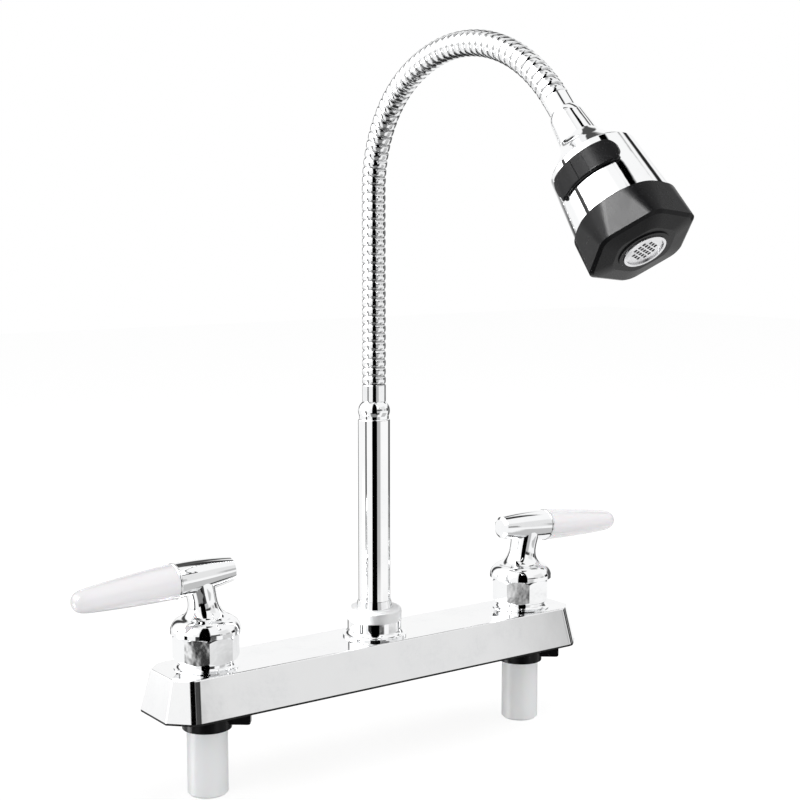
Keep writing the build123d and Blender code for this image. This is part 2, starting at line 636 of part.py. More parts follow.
# --- Lever handles, drawn for the right valve ---------------------------------------------
def on_lever(shape):
    """Stand a piece drawn along Z on the drooping lever, pointing outward."""
    return Pos(0, 0, LEVER_HEIGHT) * Rot(0, 90 + LEVER_DROOP, 0) * shape


def handle_hub():
    """Dome, neck that leans towards the grip, and barrel in one casting."""
    rim_top = DOME_FOOT + DOME_BAND
    shoulder, crown = (
        (share * DOME_RADIUS, DOME_FOOT + rise * DOME_RISE)
        for share, rise in (DOME_SHOULDER, DOME_CROWN)
    )
    dome = turned(
        line((0, crown[1]), (0, DOME_FOOT), (DOME_RADIUS, DOME_FOOT), (DOME_RADIUS, rim_top)),
        curve((DOME_RADIUS, rim_top), shoulder, crown),
        line(crown, (0, crown[1])),
    )
    sections = [Pos(0, 0, crown[1]) * Circle(crown[0])]
    for radius, rise, shift in HANDLE_NECK:
        sections.append(Pos(shift, 0, DOME_FOOT + rise) * Circle(radius))
    sections.append(Pos(HANDLE_NECK_SHIFT, 0, LEVER_HEIGHT) * Circle(HANDLE_NECK_RADIUS))
    dome += loft(sections)
    barrel = turned(
        line(
            (BARREL_FRONT_RADIUS, BARREL_FRONT),
            (0, BARREL_FRONT),
            (0, BARREL_BACK),
            (BARREL_BACK_RADIUS, BARREL_BACK),
        ),
        curve(
            (BARREL_BACK_RADIUS, BARREL_BACK),
            (BARREL_MIDDLE_RADIUS, (BARREL_BACK + BARREL_FRONT) / 2),
            (BARREL_FRONT_RADIUS, BARREL_FRONT),
        ),
    )
    hub = dome + on_lever(barrel)
    half = STEM_SQUARE / 2 + SEAT
    hub -= post(DOME_RECESS_RADIUS, DOME_FOOT, DOME_FOOT + DOME_RECESS)
    hub -= block((-half, half), (-half, half), (DOME_FOOT, STEM_TOP + SEAT))
    hub -= on_lever(post(STUD_RADIUS + SEAT, STUD_INNER - SEAT, BARREL_FRONT))
    hub -= on_lever(post(PLUG_STEM_RADIUS + SEAT, BARREL_BACK, BARREL_BACK + PLUG_STEM + SEAT))
    return hub - set_screw(SEAT, DOME_RADIUS)


def set_screw(gap=0.0, end=HANDLE_NECK_RADIUS - SCREW_INSET):
    """Small screw at the back of the neck that bears on the stem."""
    start = STEM_SQUARE / 2 + SEAT / 2
    screw = Cylinder(SCREW_RADIUS + gap, end - start, align=BASE)
    return Pos(0, start, SCREW_HEIGHT) * Rot(-90, 0, 0) * screw


def end_plug():
    """Bevelled button that closes the barrel's inboard end."""
    face = BARREL_BACK - PLUG_LENGTH
    return on_lever(
        lathe(
            (0, face),
            (PLUG_FACE_RADIUS, face),
            (BARREL_BACK_RADIUS, BARREL_BACK),
            (PLUG_STEM_RADIUS, BARREL_BACK),
            (PLUG_STEM_RADIUS, BARREL_BACK + PLUG_STEM),
            (0, BARREL_BACK + PLUG_STEM),
        )
    )


def grip_ring():
    """Bead between the barrel and the grip."""
    middle = BARREL_FRONT + RING_LENGTH / 2
    end = BARREL_FRONT + RING_LENGTH
    inner = STUD_RADIUS + SEAT
    rim = RING_RADIUS - RING_LENGTH / 4
    return on_lever(
        turned(
            line((rim, end), (inner, end), (inner, BARREL_FRONT), (rim, BARREL_FRONT)),
            curve((rim, BARREL_FRONT), (RING_RADIUS, middle), (rim, end)),
        )
    )


def grip():
    """Tapered sleeve with a rounded tip, bored for the stud."""
    root = BARREL_FRONT + RING_LENGTH
    middle = (root + GRIP_NECK) / 2
    bore = STUD_RADIUS + SEAT
    tip = Spline(
        (GRIP_NECK_RADIUS, 0, GRIP_NECK), (0, 0, GRIP_TIP), tangents=((-0.1, 0, 1), (-1, 0, 0))
    )
    sleeve = turned(
        line((0, GRIP_TIP), (0, root), (GRIP_ROOT_RADIUS, root)),
        curve((GRIP_ROOT_RADIUS, root), (GRIP_WAIST_RADIUS, middle), (GRIP_NECK_RADIUS, GRIP_NECK)),
        tip,
    )
    return on_lever(sleeve - post(bore, root, STUD_OUTER + SEAT))


def grip_stud():
    """Threaded rod that holds the grip to the barrel."""
    return on_lever(post(STUD_RADIUS, STUD_INNER, STUD_OUTER))


# --- Spout foot and tube ------------------------------------------------------------------
def spout_nut():
    """Flared nut on the hub's neck that traps the bush and the tube's clip."""
    top = COVER_TOP + SPOUT_NUT_HEIGHT
    foot_top = COVER_TOP + SPOUT_NUT_FOOT
    waist = foot_top + SPOUT_NUT_FLARE
    shoulder = top - SPOUT_NUT_ROUND
    inset = arc_inset(SPOUT_NUT_ROUND)
    flare_step, flare_rise = SPOUT_NUT_FLARE_POINT
    body = turned(
        line((0, COVER_TOP), (SPOUT_NUT_FOOT_RADIUS, COVER_TOP), (SPOUT_NUT_FOOT_RADIUS, foot_top)),
        curve(
            (SPOUT_NUT_FOOT_RADIUS, foot_top),
            (SPOUT_NUT_RADIUS + flare_step, foot_top + flare_rise),
            (SPOUT_NUT_RADIUS, waist),
        ),
        line((SPOUT_NUT_RADIUS, waist), (SPOUT_NUT_RADIUS, shoulder)),
        curve(
            (SPOUT_NUT_RADIUS, shoulder),
            (SPOUT_NUT_RADIUS - inset, top - inset),
            (SPOUT_NUT_RADIUS - SPOUT_NUT_ROUND, top),
        ),
        line((SPOUT_NUT_RADIUS - SPOUT_NUT_ROUND, top), (0, top), (0, COVER_TOP)),
    )
    clip_top = HUB_TOP + CLIP_THICKNESS + 2 * RUNNING
    body -= post(HUB_NECK_RADIUS + SEAT, COVER_TOP, clip_top)
    body -= post(BUSH_RADIUS + SEAT, clip_top, top - BUSH_SHOULDER)
    return body - post(BUSH_LIP_RADIUS + SEAT, top - BUSH_SHOULDER, top)


def spout_bush():
    """Sleeve between the nut and the tube, with a tapered lip above the nut."""
    top = COVER_TOP + SPOUT_NUT_HEIGHT
    bottom = HUB_TOP + CLIP_THICKNESS + 2 * RUNNING
    bore = TUBE_RADIUS + RUNNING
    return lathe(
        (bore, bottom),
        (BUSH_RADIUS, bottom),
        (BUSH_RADIUS, top - BUSH_SHOULDER),
        (BUSH_LIP_RADIUS, top - BUSH_SHOULDER),
        (BUSH_LIP_RADIUS, top),
        (BUSH_LIP_TIP_RADIUS, top + BUSH_LIP),
        (bore, top + BUSH_LIP),
    )


def spout_tube():
    """Upright tube with two seal grooves and a clip groove near its foot."""
    tube = post(TUBE_RADIUS, TUBE_BOTTOM, TUBE_TOP)
    tube = fillet(tube.edges().sort_by(Axis.Z)[-1], TUBE_TOP_ROUND)
    tube -= post(TUBE_RADIUS - TUBE_WALL, TUBE_BOTTOM, TUBE_TOP)
    for height in TUBE_SEAL_HEIGHTS:
        tube -= groove(TUBE_RADIUS, height)
    clip_foot = HUB_TOP + RUNNING
    return tube - ring(
        TUBE_RADIUS + SEAT,
        TUBE_RADIUS - CLIP_GROOVE_DEPTH,
        clip_foot,
        clip_foot + CLIP_THICKNESS,
    )


def spout_seals():
    """Two alike seal rings at the foot of the tube."""
    return Compound(children=[groove_seal(TUBE_RADIUS, height) for height in TUBE_SEAL_HEIGHTS])


def spout_clip():
    """Split ring in the tube's groove that carries the tube on the hub."""
    bottom = HUB_TOP + RUNNING
    inner = TUBE_RADIUS - CLIP_GROOVE_DEPTH + SEAT / 2
    clip = ring(CLIP_RADIUS, inner, bottom, bottom + CLIP_THICKNESS)
    slot = block((-CLIP_SLOT / 2, CLIP_SLOT / 2), (0, CLIP_RADIUS), (bottom, bottom + CLIP_THICKNESS))
    return clip - slot


def hose_ferrule():
    """Turned collar that joins the hose to the tube."""
    groove_top = TUBE_TOP + FERRULE_GROOVE
    spigot = TUBE_RADIUS - TUBE_WALL - SEAT
    ferrule = turned(
        line(
            (0, HOSE_FOOT),
            (0, TUBE_TOP - FERRULE_SPIGOT),
            (spigot, TUBE_TOP - FERRULE_SPIGOT),
            (spigot, TUBE_TOP),
            (FERRULE_GROOVE_RADIUS, TUBE_TOP),
            (FERRULE_GROOVE_RADIUS, groove_top),
        ),
        curve(
            (FERRULE_GROOVE_RADIUS, groove_top),
            (FERRULE_BULGE_RADIUS, TUBE_TOP + FERRULE_BULGE),
            (HOSE_RADIUS, HOSE_FOOT),
        ),
        line((HOSE_RADIUS, HOSE_FOOT), (0, HOSE_FOOT)),
    )
    ferrule -= post(HOSE_BORE_RADIUS, TUBE_TOP - FERRULE_SPIGOT, HOSE_FOOT)
    return ferrule - post(HOSE_CORE_RADIUS + SEAT, HOSE_FOOT - HOSE_CORE_LENGTH, HOSE_FOOT)


# --- Gooseneck hose -----------------------------------------------------------------------
def hose_plane(distance):
    """Plane square to the hose's centre line at a distance from its foot."""
    rise = min(distance, HOSE_STRAIGHT)
    y = 0.0
    z = HOSE_FOOT + rise
    angle = 0.0
    left = distance - rise
    for radius, turn in HOSE_BENDS:
        step = min(left / radius, math.radians(turn))
        y -= radius * (math.cos(angle) - math.cos(angle + step))
        z += radius * (math.sin(angle + step) - math.sin(angle))
        angle += step
        left -= step * radius
    return Plane(origin=(0, y, z), x_dir=(1, 0, 0), z_dir=(0, -math.sin(angle), math.cos(angle)))


def hose_path(start, end):
    """Centre line between two distances: straight runs joined by tangent arcs."""
    marks = [HOSE_STRAIGHT]
    for radius, turn in HOSE_BENDS[:-1]:
        marks.append(marks[-1] + radius * math.radians(turn))
    marks = [start] + [mark for mark in marks if start < mark < end] + [end]
    edges = []
    for low, high in zip(marks, marks[1:]):
        ends = (hose_plane(low).origin, hose_plane(high).origin)
        if high <= HOSE_STRAIGHT:
            edges.append(Line(*ends))
        else:
            edges.append(ThreePointArc(ends[0], hose_plane((low + high) / 2).origin, ends[1]))
    return Wire(edges)


def rib(stations):
    """One rib: a ruled loft through four circles at (distance, radius) stations."""
    sections = [(hose_plane(distance) * Circle(radius)).face() for distance, radius in stations]
    return loft(sections, ruled=True)


def full_rib(index):
    """Stations of a whole rib."""
    start = index * RIB_PITCH
    slope = (1 - RIB_CREST) / 2
    edge = HOSE_RADIUS if index < SLEEVE_RIBS else GROOVE_RADIUS
    shares = ((0, edge), (slope, HOSE_RADIUS), (1 - slope, HOSE_RADIUS), (1, edge))
    return [(start + share * RIB_PITCH, radius) for share, radius in shares]


def joint_distance(number):
    """Distance of a joint's centre, at the middle of a rib."""
    return (number * RIBS_PER_SEGMENT + 0.5) * RIB_PITCH


def hose_segment(number):
    """Ribbed length of hose, with a socket at its foot and a ball at its end."""
    first_rib = number * RIBS_PER_SEGMENT
    last_rib = first_rib + RIBS_PER_SEGMENT
    has_socket = number > 0
    has_ball = number < SEGMENT_COUNT - 1
    ribs = []
    if has_socket:
        centre = joint_distance(number)
        stations = full_rib(first_rib)
        slope = (1 - RIB_CREST) / 2
        lip_radius = HOSE_RADIUS - HOSE_GROOVE * (SOCKET_LIP / RIB_PITCH - RIB_CREST / 2) / slope
        ribs.append(rib([(centre - SOCKET_LIP, lip_radius)] + stations[1:]))
        first_rib += 1
    ribs += [rib(full_rib(index)) for index in range(first_rib, last_rib - has_ball)]
    start, end = full_rib(number * RIBS_PER_SEGMENT)[0][0], last_rib * RIB_PITCH
    if has_ball:
        centre = joint_distance(number + 1)
        stations = full_rib(last_rib - 1)[:2]
        neck = centre - BALL_NECK
        ribs.append(rib(stations + [(neck - PASSING, HOSE_RADIUS), (neck, HOSE_RADIUS - PASSING)]))
        ribs.append(hose_plane(centre) * Sphere(BALL_RADIUS))
        end = centre + BALL_RADIUS + OVERCUT
    if number == 0:
        ribs.append(hose_plane(0) * post(HOSE_CORE_RADIUS, -HOSE_CORE_LENGTH, RIB_PITCH))
    if not has_ball:
        ribs.append(hose_plane(HOSE_LENGTH) * post(HOSE_CORE_RADIUS, -RIB_PITCH, HOSE_CORE_LENGTH))
    segment = ribs[0].fuse(*ribs[1:])
    segment -= sweep(hose_plane(start) * Circle(HOSE_BORE_RADIUS), path=hose_path(start, end))
    if number == 0:
        segment -= post(HOSE_BORE_RADIUS, HOSE_FOOT - HOSE_CORE_LENGTH, HOSE_FOOT)
    if not has_ball:
        segment -= hose_plane(HOSE_LENGTH) * post(HOSE_BORE_RADIUS, 0, HOSE_CORE_LENGTH)
    if has_socket:
        segment -= hose_plane(joint_distance(number)) * Sphere(SOCKET_RADIUS)
    return segment


# --- Spray head, drawn along Z and stood on the end of the hose ---------------------------
def head_plane(roll):
    """Frame at the end of the hose: Z along the head, X at a roll from -X to the front."""
    end = hose_plane(HOSE_LENGTH)
    across = math.cos(math.radians(roll))
    forward = math.sin(math.radians(roll))
    front = Vector(0, -math.cos(math.radians(180 - HOSE_TURN)), math.sin(math.radians(180 - HOSE_TURN)))
    x_dir = Vector(-across, 0, 0) + front * forward
    return Plane(origin=end.origin, x_dir=x_dir, z_dir=end.z_dir)


def upper_ferrule():
    """Crimped end of the hose with the flanged spigot that the head turns on."""
    flange = SWIVEL_END - SWIVEL_FLANGE
    ferrule = lathe(
        (0, 0),
        (END_FERRULE_RADIUS, 0),
        (END_FERRULE_RADIUS, END_FERRULE),
        (SWIVEL_RADIUS, END_FERRULE),
        (SWIVEL_RADIUS, flange),
        (SWIVEL_FLANGE_RADIUS, flange),
        (SWIVEL_FLANGE_RADIUS, SWIVEL_END),
        (0, SWIVEL_END),
    )
    ferrule -= post(HOSE_BORE_RADIUS, 0, SWIVEL_END)
    ferrule -= post(HOSE_CORE_RADIUS + SEAT, 0, HOSE_CORE_LENGTH)
    return ferrule - groove(SWIVEL_RADIUS, SWIVEL_SEAL)


def neck_cone():
    """Tapered neck that turns on the spigot and screws into the core."""
    top = END_FERRULE + PASSING
    bore_end = SWIVEL_END - SWIVEL_FLANGE - PASSING
    cavity = SWIVEL_FLANGE_RADIUS + PASSING
    bore = SWIVEL_RADIUS + RUNNING
    return turned(
        line((bore, top), (CONE_TOP_RADIUS, top)),
        curve(
            (CONE_TOP_RADIUS, top),
            ((CONE_TOP_RADIUS + CONE_WAIST_RADIUS) / 2 + CONE_TOP_BULGE, (top + CONE_WAIST) / 2),
            (CONE_WAIST_RADIUS, CONE_WAIST),
        ),
        line(
            (CONE_WAIST_RADIUS, CONE_WAIST),
            (CONE_END_RADIUS, CONE_END),
            (CONE_SKIRT_RADIUS, CONE_END),
            (CONE_SKIRT_RADIUS, CONE_SKIRT_END),
            (cavity, CONE_SKIRT_END),
            (cavity, bore_end),
            (bore, bore_end),
            (bore, top),
        ),
    )


def shell_radius(distance):
    """Outer radius of the shell's lower cone at a distance along the head."""
    share = (distance - SHELL_CORNER) / (SHELL_END - SHELL_CORNER)
    return SHELL_CORNER_RADIUS + share * (SHELL_END_RADIUS - SHELL_CORNER_RADIUS)


def head_shell():
    """Thin flared shell with a window for the selector's arm and two pivot holes."""
    flare = (SHELL_FLARE_RADIUS, CONE_END + SHELL_FLARE_RISE)
    width_share, rise_share = SHELL_FLARE_POINT
    flare_middle = (
        CONE_END_RADIUS + width_share * (SHELL_FLARE_RADIUS - CONE_END_RADIUS),
        CONE_END + rise_share * SHELL_FLARE_RISE,
    )
    inner_end = SHELL_END_RADIUS - SHELL_WALL
    inner_corner = (SHELL_CORNER_RADIUS - SHELL_WALL, SHELL_CORNER + SHELL_WALL / 2)
    hole = CONE_SKIRT_RADIUS + SEAT
    shoulder = (SHELL_CORNER_RADIUS - SHELL_CORNER_ROUND, SHELL_CORNER - SHELL_CORNER_ROUND)
    shoulder_middle = (
        SHELL_CORNER_RADIUS - SHELL_CORNER_POINT[0] * SHELL_CORNER_ROUND,
        SHELL_CORNER - SHELL_CORNER_POINT[1] * SHELL_CORNER_ROUND,
    )
    shell = turned(
        line((hole, CONE_END), (CONE_END_RADIUS, CONE_END)),
        curve((CONE_END_RADIUS, CONE_END), flare_middle, flare),
        line(flare, shoulder),
        curve(shoulder, shoulder_middle, (SHELL_CORNER_RADIUS, SHELL_CORNER)),
        line(
            (SHELL_CORNER_RADIUS, SHELL_CORNER),
            (SHELL_END_RADIUS, SHELL_END),
            (inner_end, SHELL_END),
            inner_corner,
            (flare[0] - SHELL_WALL / 3, flare[1] + SHELL_WALL),
            (hole, CONE_END + 2 * SHELL_WALL),
            (hole, CONE_END),
        ),
    )
    half = ARM_WIDTH / 2 + 2 * PASSING
    arm_range = (ARM - ARM_ROOM[0], ARM + ARM_THICKNESS + ARM_ROOM[1])
    window = block((CORE_RADIUS, SHELL_END_RADIUS), (-half, half), arm_range)
    return shell - window - pivot_pins(RUNNING / 2, PIN_INNER - PIN_ROOM)


def pivot_pins(gap, inner):
    """Two pins on the selector's pivot line, one through each side of the shell."""
    outer = ROCKER_HALF_WIDTH - PIN_INSET
    pin = Rot(-90, 0, 0) * Cylinder(PIN_RADIUS + gap, outer - inner, align=BASE)
    right = Pos(PIVOT_OFFSET, inner, PIVOT) * pin
    return right + mirror(right, about=Plane.XZ)


def rocker_radius(distance):
    """Outer radius of the selector at a distance along the head."""
    return shell_radius(distance) + ROCKER_PROUD


def selector_rocker():
    """Rounded saddle over the shell, its pivot pins and its inner arm."""
    top_edge = ROCKER_TOP + ROCKER_EDGE
    end_edge = ROCKER_END - ROCKER_EDGE
    inset = arc_inset(ROCKER_EDGE)
    outer = line((rocker_radius(end_edge), end_edge), (rocker_radius(top_edge), top_edge))
    inner = line(
        (rocker_radius(ROCKER_TOP) - ROCKER_EDGE, ROCKER_TOP),
        (shell_radius(ROCKER_TOP) + ROCKER_GAP, ROCKER_TOP),
        (shell_radius(ROCKER_END) + ROCKER_GAP, ROCKER_END),
        (rocker_radius(ROCKER_END) - ROCKER_EDGE, ROCKER_END),
    )
    band = turned(
        inner,
        curve(
            (rocker_radius(ROCKER_END) - ROCKER_EDGE, ROCKER_END),
            (rocker_radius(ROCKER_END) - inset, ROCKER_END - inset),
            (rocker_radius(end_edge), end_edge),
        ),
        outer,
        curve(
            (rocker_radius(top_edge), top_edge),
            (rocker_radius(ROCKER_TOP) - inset, ROCKER_TOP + inset),
            (rocker_radius(ROCKER_TOP) - ROCKER_EDGE, ROCKER_TOP),
        ),
    )
    height = ROCKER_END - ROCKER_TOP
    outline = fillet(Rectangle(2 * ROCKER_HALF_WIDTH, height).vertices(), ROCKER_CORNER)
    front = Plane(origin=(0, 0, (ROCKER_TOP + ROCKER_END) / 2), x_dir=(0, 1, 0), z_dir=(1, 0, 0))
    crest = rocker_radius(ROCKER_END)
    saddle = band & extrude(front * outline, 2 * crest)
    arm = block(
        (ARM_TIP, rocker_radius(ARM) - ROCKER_EDGE),
        (-ARM_WIDTH / 2, ARM_WIDTH / 2),
        (ARM, ARM + ARM_THICKNESS),
    )
    pins = pivot_pins(0, PIN_INNER) & lathe(
        (0, ROCKER_TOP),
        (rocker_radius(ROCKER_TOP), ROCKER_TOP),
        (rocker_radius(ROCKER_END), ROCKER_END),
        (0, ROCKER_END),
    )
    rocker = saddle + arm + pins
    beyond = crest + OVERCUT
    above = ROCKER_TOP - OVERCUT
    below = ROCKER_END + OVERCUT
    skin = lathe(
        (rocker_radius(ROCKER_TOP) - ROCKER_LINE, above),
        (beyond, above),
        (beyond, below),
        (rocker_radius(ROCKER_END) - ROCKER_LINE, below),
    )
    for y in (-ROCKER_LINE_OFFSET, ROCKER_LINE_OFFSET):
        floor = math.sqrt(rocker_radius(ROCKER_TOP) ** 2 - y**2) - ROCKER_LINE
        line_cut = block((floor, beyond), (y - ROCKER_LINE / 2, y + ROCKER_LINE / 2), (above, below))
        rocker -= line_cut & skin
    return rocker


def head_core():
    """Inner waterway: screws onto the neck, houses the spool and carries the nozzle."""
    socket_end = CONE_SKIRT_END + SEAT
    flange_radius = SHELL_END_RADIUS - SHELL_WALL - 3 * PASSING
    core = lathe(
        (0, CORE_TOP),
        (CORE_SOCKET_RADIUS, CORE_TOP),
        (CORE_SOCKET_RADIUS, socket_end),
        (CORE_RADIUS, SHELL_CORNER + SHELL_WALL),
        (CORE_RADIUS, CORE_FLANGE - SHELL_WALL),
        (flange_radius, CORE_FLANGE),
        (flange_radius, CORE_FLANGE_END),
        (CORE_END_RADIUS, CORE_FLANGE_END),
        (CORE_END_RADIUS, CORE_END),
        (0, CORE_END),
    )
    core -= post(CONE_SKIRT_RADIUS + SEAT, CONE_END, socket_end)
    core -= post(SPOOL_RADIUS + RUNNING, socket_end, CORE_FLANGE)
    core -= post(AERATOR_RADIUS, CORE_FLANGE, CORE_END)
    half = ARM_WIDTH / 2 + 2 * PASSING
    arm_range = (SPOOL_TOP, ARM + ARM_THICKNESS + ARM_ROOM[0])
    return core - block((0, CORE_RADIUS), (-half, half), arm_range)


def diverter_spool():
    """Sliding spool with a waist for the selector's arm and a lower waist."""
    arm_top = ARM - SPOOL_PLAY
    arm_end = ARM + ARM_THICKNESS + SPOOL_PLAY
    end = SPOOL_TOP + SPOOL_LENGTH
    waist_end = end - SPOOL_LAND
    waist_top = waist_end - SPOOL_LOWER_WAIST
    return lathe(
        (0, SPOOL_TOP),
        (SPOOL_RADIUS, SPOOL_TOP),
        (SPOOL_RADIUS, arm_top),
        (SPOOL_WAIST_RADIUS, arm_top),
        (SPOOL_WAIST_RADIUS, arm_end),
        (SPOOL_RADIUS, arm_end),
        (SPOOL_RADIUS, waist_top),
        (SPOOL_LOWER_WAIST_RADIUS, waist_top),
        (SPOOL_LOWER_WAIST_RADIUS, waist_end),
        (SPOOL_RADIUS, waist_end),
        (SPOOL_RADIUS, end),
        (0, end),
    )


def hexagon(flat, round_radius, height):
    """Hexagon with rounded corners and a flat towards X, given from its centre to a flat."""
    outline = RegularPolygon(flat, 6, major_radius=False)
    return Pos(0, 0, height) * Rot(0, 0, 30) * fillet(outline.vertices(), round_radius)


def nozzle_ring():
    """Six-sided ring whose flats widen downward, with a sloping face round the aerator."""
    sections = [
        hexagon(NOZZLE_TOP_FLAT, NOZZLE_TOP_ROUND, NOZZLE_TOP),
        hexagon(NOZZLE_EDGE_FLAT, NOZZLE_EDGE_ROUND, NOZZLE_EDGE),
        hexagon(NOZZLE_FACE_FLAT, NOZZLE_EDGE_ROUND, NOZZLE_FACE),
        hexagon(NOZZLE_END_FLAT, NOZZLE_EDGE_ROUND, NOZZLE_END),
    ]
    body = loft(sections, ruled=True)
    body += post(NOZZLE_LEDGE_RADIUS, NOZZLE_FLOOR, NOZZLE_END + NOZZLE_LEDGE)
    body = Rot(0, 0, HEAD_SELECTOR_ROLL - NOZZLE_FLAT_ROLL) * body
    body -= post(CORE_END_RADIUS + SEAT, NOZZLE_TOP, NOZZLE_FLOOR)
    return body - post(AERATOR_RADIUS + SEAT, NOZZLE_FLOOR, NOZZLE_END + NOZZLE_LEDGE)


def nozzle_gasket():
    """Flat ring between the core's end and the aerator's flange."""
    rim = CORE_END_RADIUS - NOZZLE_GASKET_INSET
    return ring(rim, AERATOR_RADIUS, CORE_END, NOZZLE_FLOOR - AERATOR_FLANGE)


def aerator_housing():
    """Flanged sleeve that hangs in the nozzle ring and holds the screen."""
    flange_top = NOZZLE_FLOOR - AERATOR_FLANGE
    seat = AERATOR_END - SCREEN_RECESS - SCREEN_THICKNESS
    bore = AERATOR_RADIUS - 2 * AERATOR_WALL
    sleeve = post(AERATOR_FLANGE_RADIUS, flange_top, NOZZLE_FLOOR)
    sleeve += post(AERATOR_RADIUS, NOZZLE_FLOOR, AERATOR_END)
    sleeve -= post(bore, flange_top, seat)
    return sleeve - post(AERATOR_RADIUS - AERATOR_WALL, seat, AERATOR_END)


def aerator_screen():
    """Round screen with square holes."""
    radius = AERATOR_RADIUS - AERATOR_WALL - SEAT / 2
    top = AERATOR_END - SCREEN_RECESS - SCREEN_THICKNESS
    reach = AERATOR_RADIUS - 2 * AERATOR_WALL - SCREEN_HOLE
    face = Circle(radius)
    count = int(2 * reach / SCREEN_PITCH) | 1
    for place in GridLocations(SCREEN_PITCH, SCREEN_PITCH, count, count):
        if place.position.length < reach:
            face -= place * Rectangle(SCREEN_HOLE, SCREEN_HOLE)
    return extrude(Pos(0, 0, top) * face, SCREEN_THICKNESS)


# --- Write every sub-part -----------------------------------------------------------------
def build_body():
    """Pieces that stay on the deck."""
    save("deck_cover", deck_cover())
    save("base_gasket", base_gasket())
    save_pair("valve_body", valve_body())
    save("center_hub", center_hub())
    save_pair("cross_tube", cross_tube(), axis_x=0)
    save("cross_tube_seals", cross_tube_seals())
    save_pair("collar", collar())
    save_pair("bonnet_nut", bonnet_nut())
    save_pair("cartridge", cartridge())
    save_pair("fixed_disc", fixed_disc())
    save("seat_seals", seat_seals())
    save("right_wing_nut", Pos(INLET_CENTRES / 2, 0, 0) * wing_nut())
    save("left_wing_nut", Pos(-INLET_CENTRES / 2, 0, 0) * wing_nut())
    save("spout_nut", spout_nut())
    save("spout_bush", spout_bush())


def build_handles():
    """Pieces that turn with each lever."""
    save_pair("stem", stem())
    save_pair("moving_disc", moving_disc())
    save_pair("stem_seal", groove_seal(STEM_RADIUS, STEM_GROOVE_HEIGHT))
    save_pair("handle_hub", handle_hub())
    save_pair("grip_ring", grip_ring())
    save_pair("grip", grip())
    save_pair("grip_stud", grip_stud())
    save_pair("end_plug", end_plug())
    save_pair("set_screw", set_screw())


def build_spout():
    """Pieces that swivel with the spout, and the hose."""
    save("spout_tube", spout_tube())
    save("spout_seals", spout_seals())
    save("spout_clip", spout_clip())
    save("hose_ferrule", hose_ferrule())
    for number in range(SEGMENT_COUNT):
        save(f"hose_segment_{number + 1}", hose_segment(number))


def build_head():
    """Pieces of the spray head."""
    hose_end = head_plane(HEAD_SELECTOR_ROLL)
    save("upper_ferrule", hose_end * upper_ferrule())
    save("head_seal", hose_end * groove_seal(SWIVEL_RADIUS, SWIVEL_SEAL))
    save("neck_cone", hose_end * neck_cone())
    save("head_shell", hose_end * head_shell())
    save("head_core", hose_end * head_core())
    save("diverter_spool", hose_end * diverter_spool())
    save("selector_rocker", hose_end * selector_rocker())
    save("nozzle_ring", hose_end * nozzle_ring())
    save("nozzle_gasket", hose_end * nozzle_gasket())
    save("aerator_housing", hose_end * aerator_housing())
    save("aerator_screen", hose_end * aerator_screen())


def print_places():
    """Places and lines of the joints, for whoever sets the part up."""
    for number in range(1, SEGMENT_COUNT):
        centre = hose_plane(joint_distance(number)).origin
        print(f"hose joint {number}: {centre.X:.3f} {centre.Y:.3f} {centre.Z:.3f}")
    head = head_plane(HEAD_SELECTOR_ROLL)
    pivot = head.from_local_coords((PIVOT_OFFSET, 0, PIVOT))
    for label, vector in (
        ("head origin", head.origin),
        ("head axis", head.z_dir),
        ("selector direction", head.x_dir),
        ("selector pivot axis", head.y_dir),
        ("selector pivot", pivot),
    ):
        print(f"{label}: {vector.X:.5f} {vector.Y:.5f} {vector.Z:.5f}")


os.makedirs("parts", exist_ok=True)
build_body()
build_handles()
build_spout()
build_head()
print_places()
print(f"{len(saved)} sub-parts")
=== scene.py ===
"""Looks of the two handle kitchen faucet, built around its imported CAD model."""

import logging
import math
from dataclasses import dataclass, field
from enum import Enum

import bmesh
import bpy
from mathutils import Matrix, Vector


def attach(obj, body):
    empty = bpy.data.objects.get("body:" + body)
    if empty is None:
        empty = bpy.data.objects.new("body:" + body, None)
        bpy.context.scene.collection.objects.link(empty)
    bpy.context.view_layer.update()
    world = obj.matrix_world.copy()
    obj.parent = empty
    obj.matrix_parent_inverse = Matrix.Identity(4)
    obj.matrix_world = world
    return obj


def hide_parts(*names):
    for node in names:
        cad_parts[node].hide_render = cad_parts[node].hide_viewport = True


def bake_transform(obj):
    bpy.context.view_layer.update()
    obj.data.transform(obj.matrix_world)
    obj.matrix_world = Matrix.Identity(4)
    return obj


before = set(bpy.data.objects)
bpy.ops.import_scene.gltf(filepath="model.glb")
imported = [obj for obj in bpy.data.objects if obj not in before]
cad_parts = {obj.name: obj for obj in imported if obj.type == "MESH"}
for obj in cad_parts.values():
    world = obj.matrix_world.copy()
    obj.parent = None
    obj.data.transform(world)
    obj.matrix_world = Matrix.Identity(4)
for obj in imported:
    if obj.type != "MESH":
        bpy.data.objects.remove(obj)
bpy.context.view_layer.update()

log = logging.getLogger("faucet")

MM = 0.001
HALF_TURN = 180.0
WHITE = (1.0, 1.0, 1.0)
Colour = tuple[float, float, float]
Socket = bpy.types.NodeSocket
Node = bpy.types.Node
Loop = list[bmesh.types.BMVert]


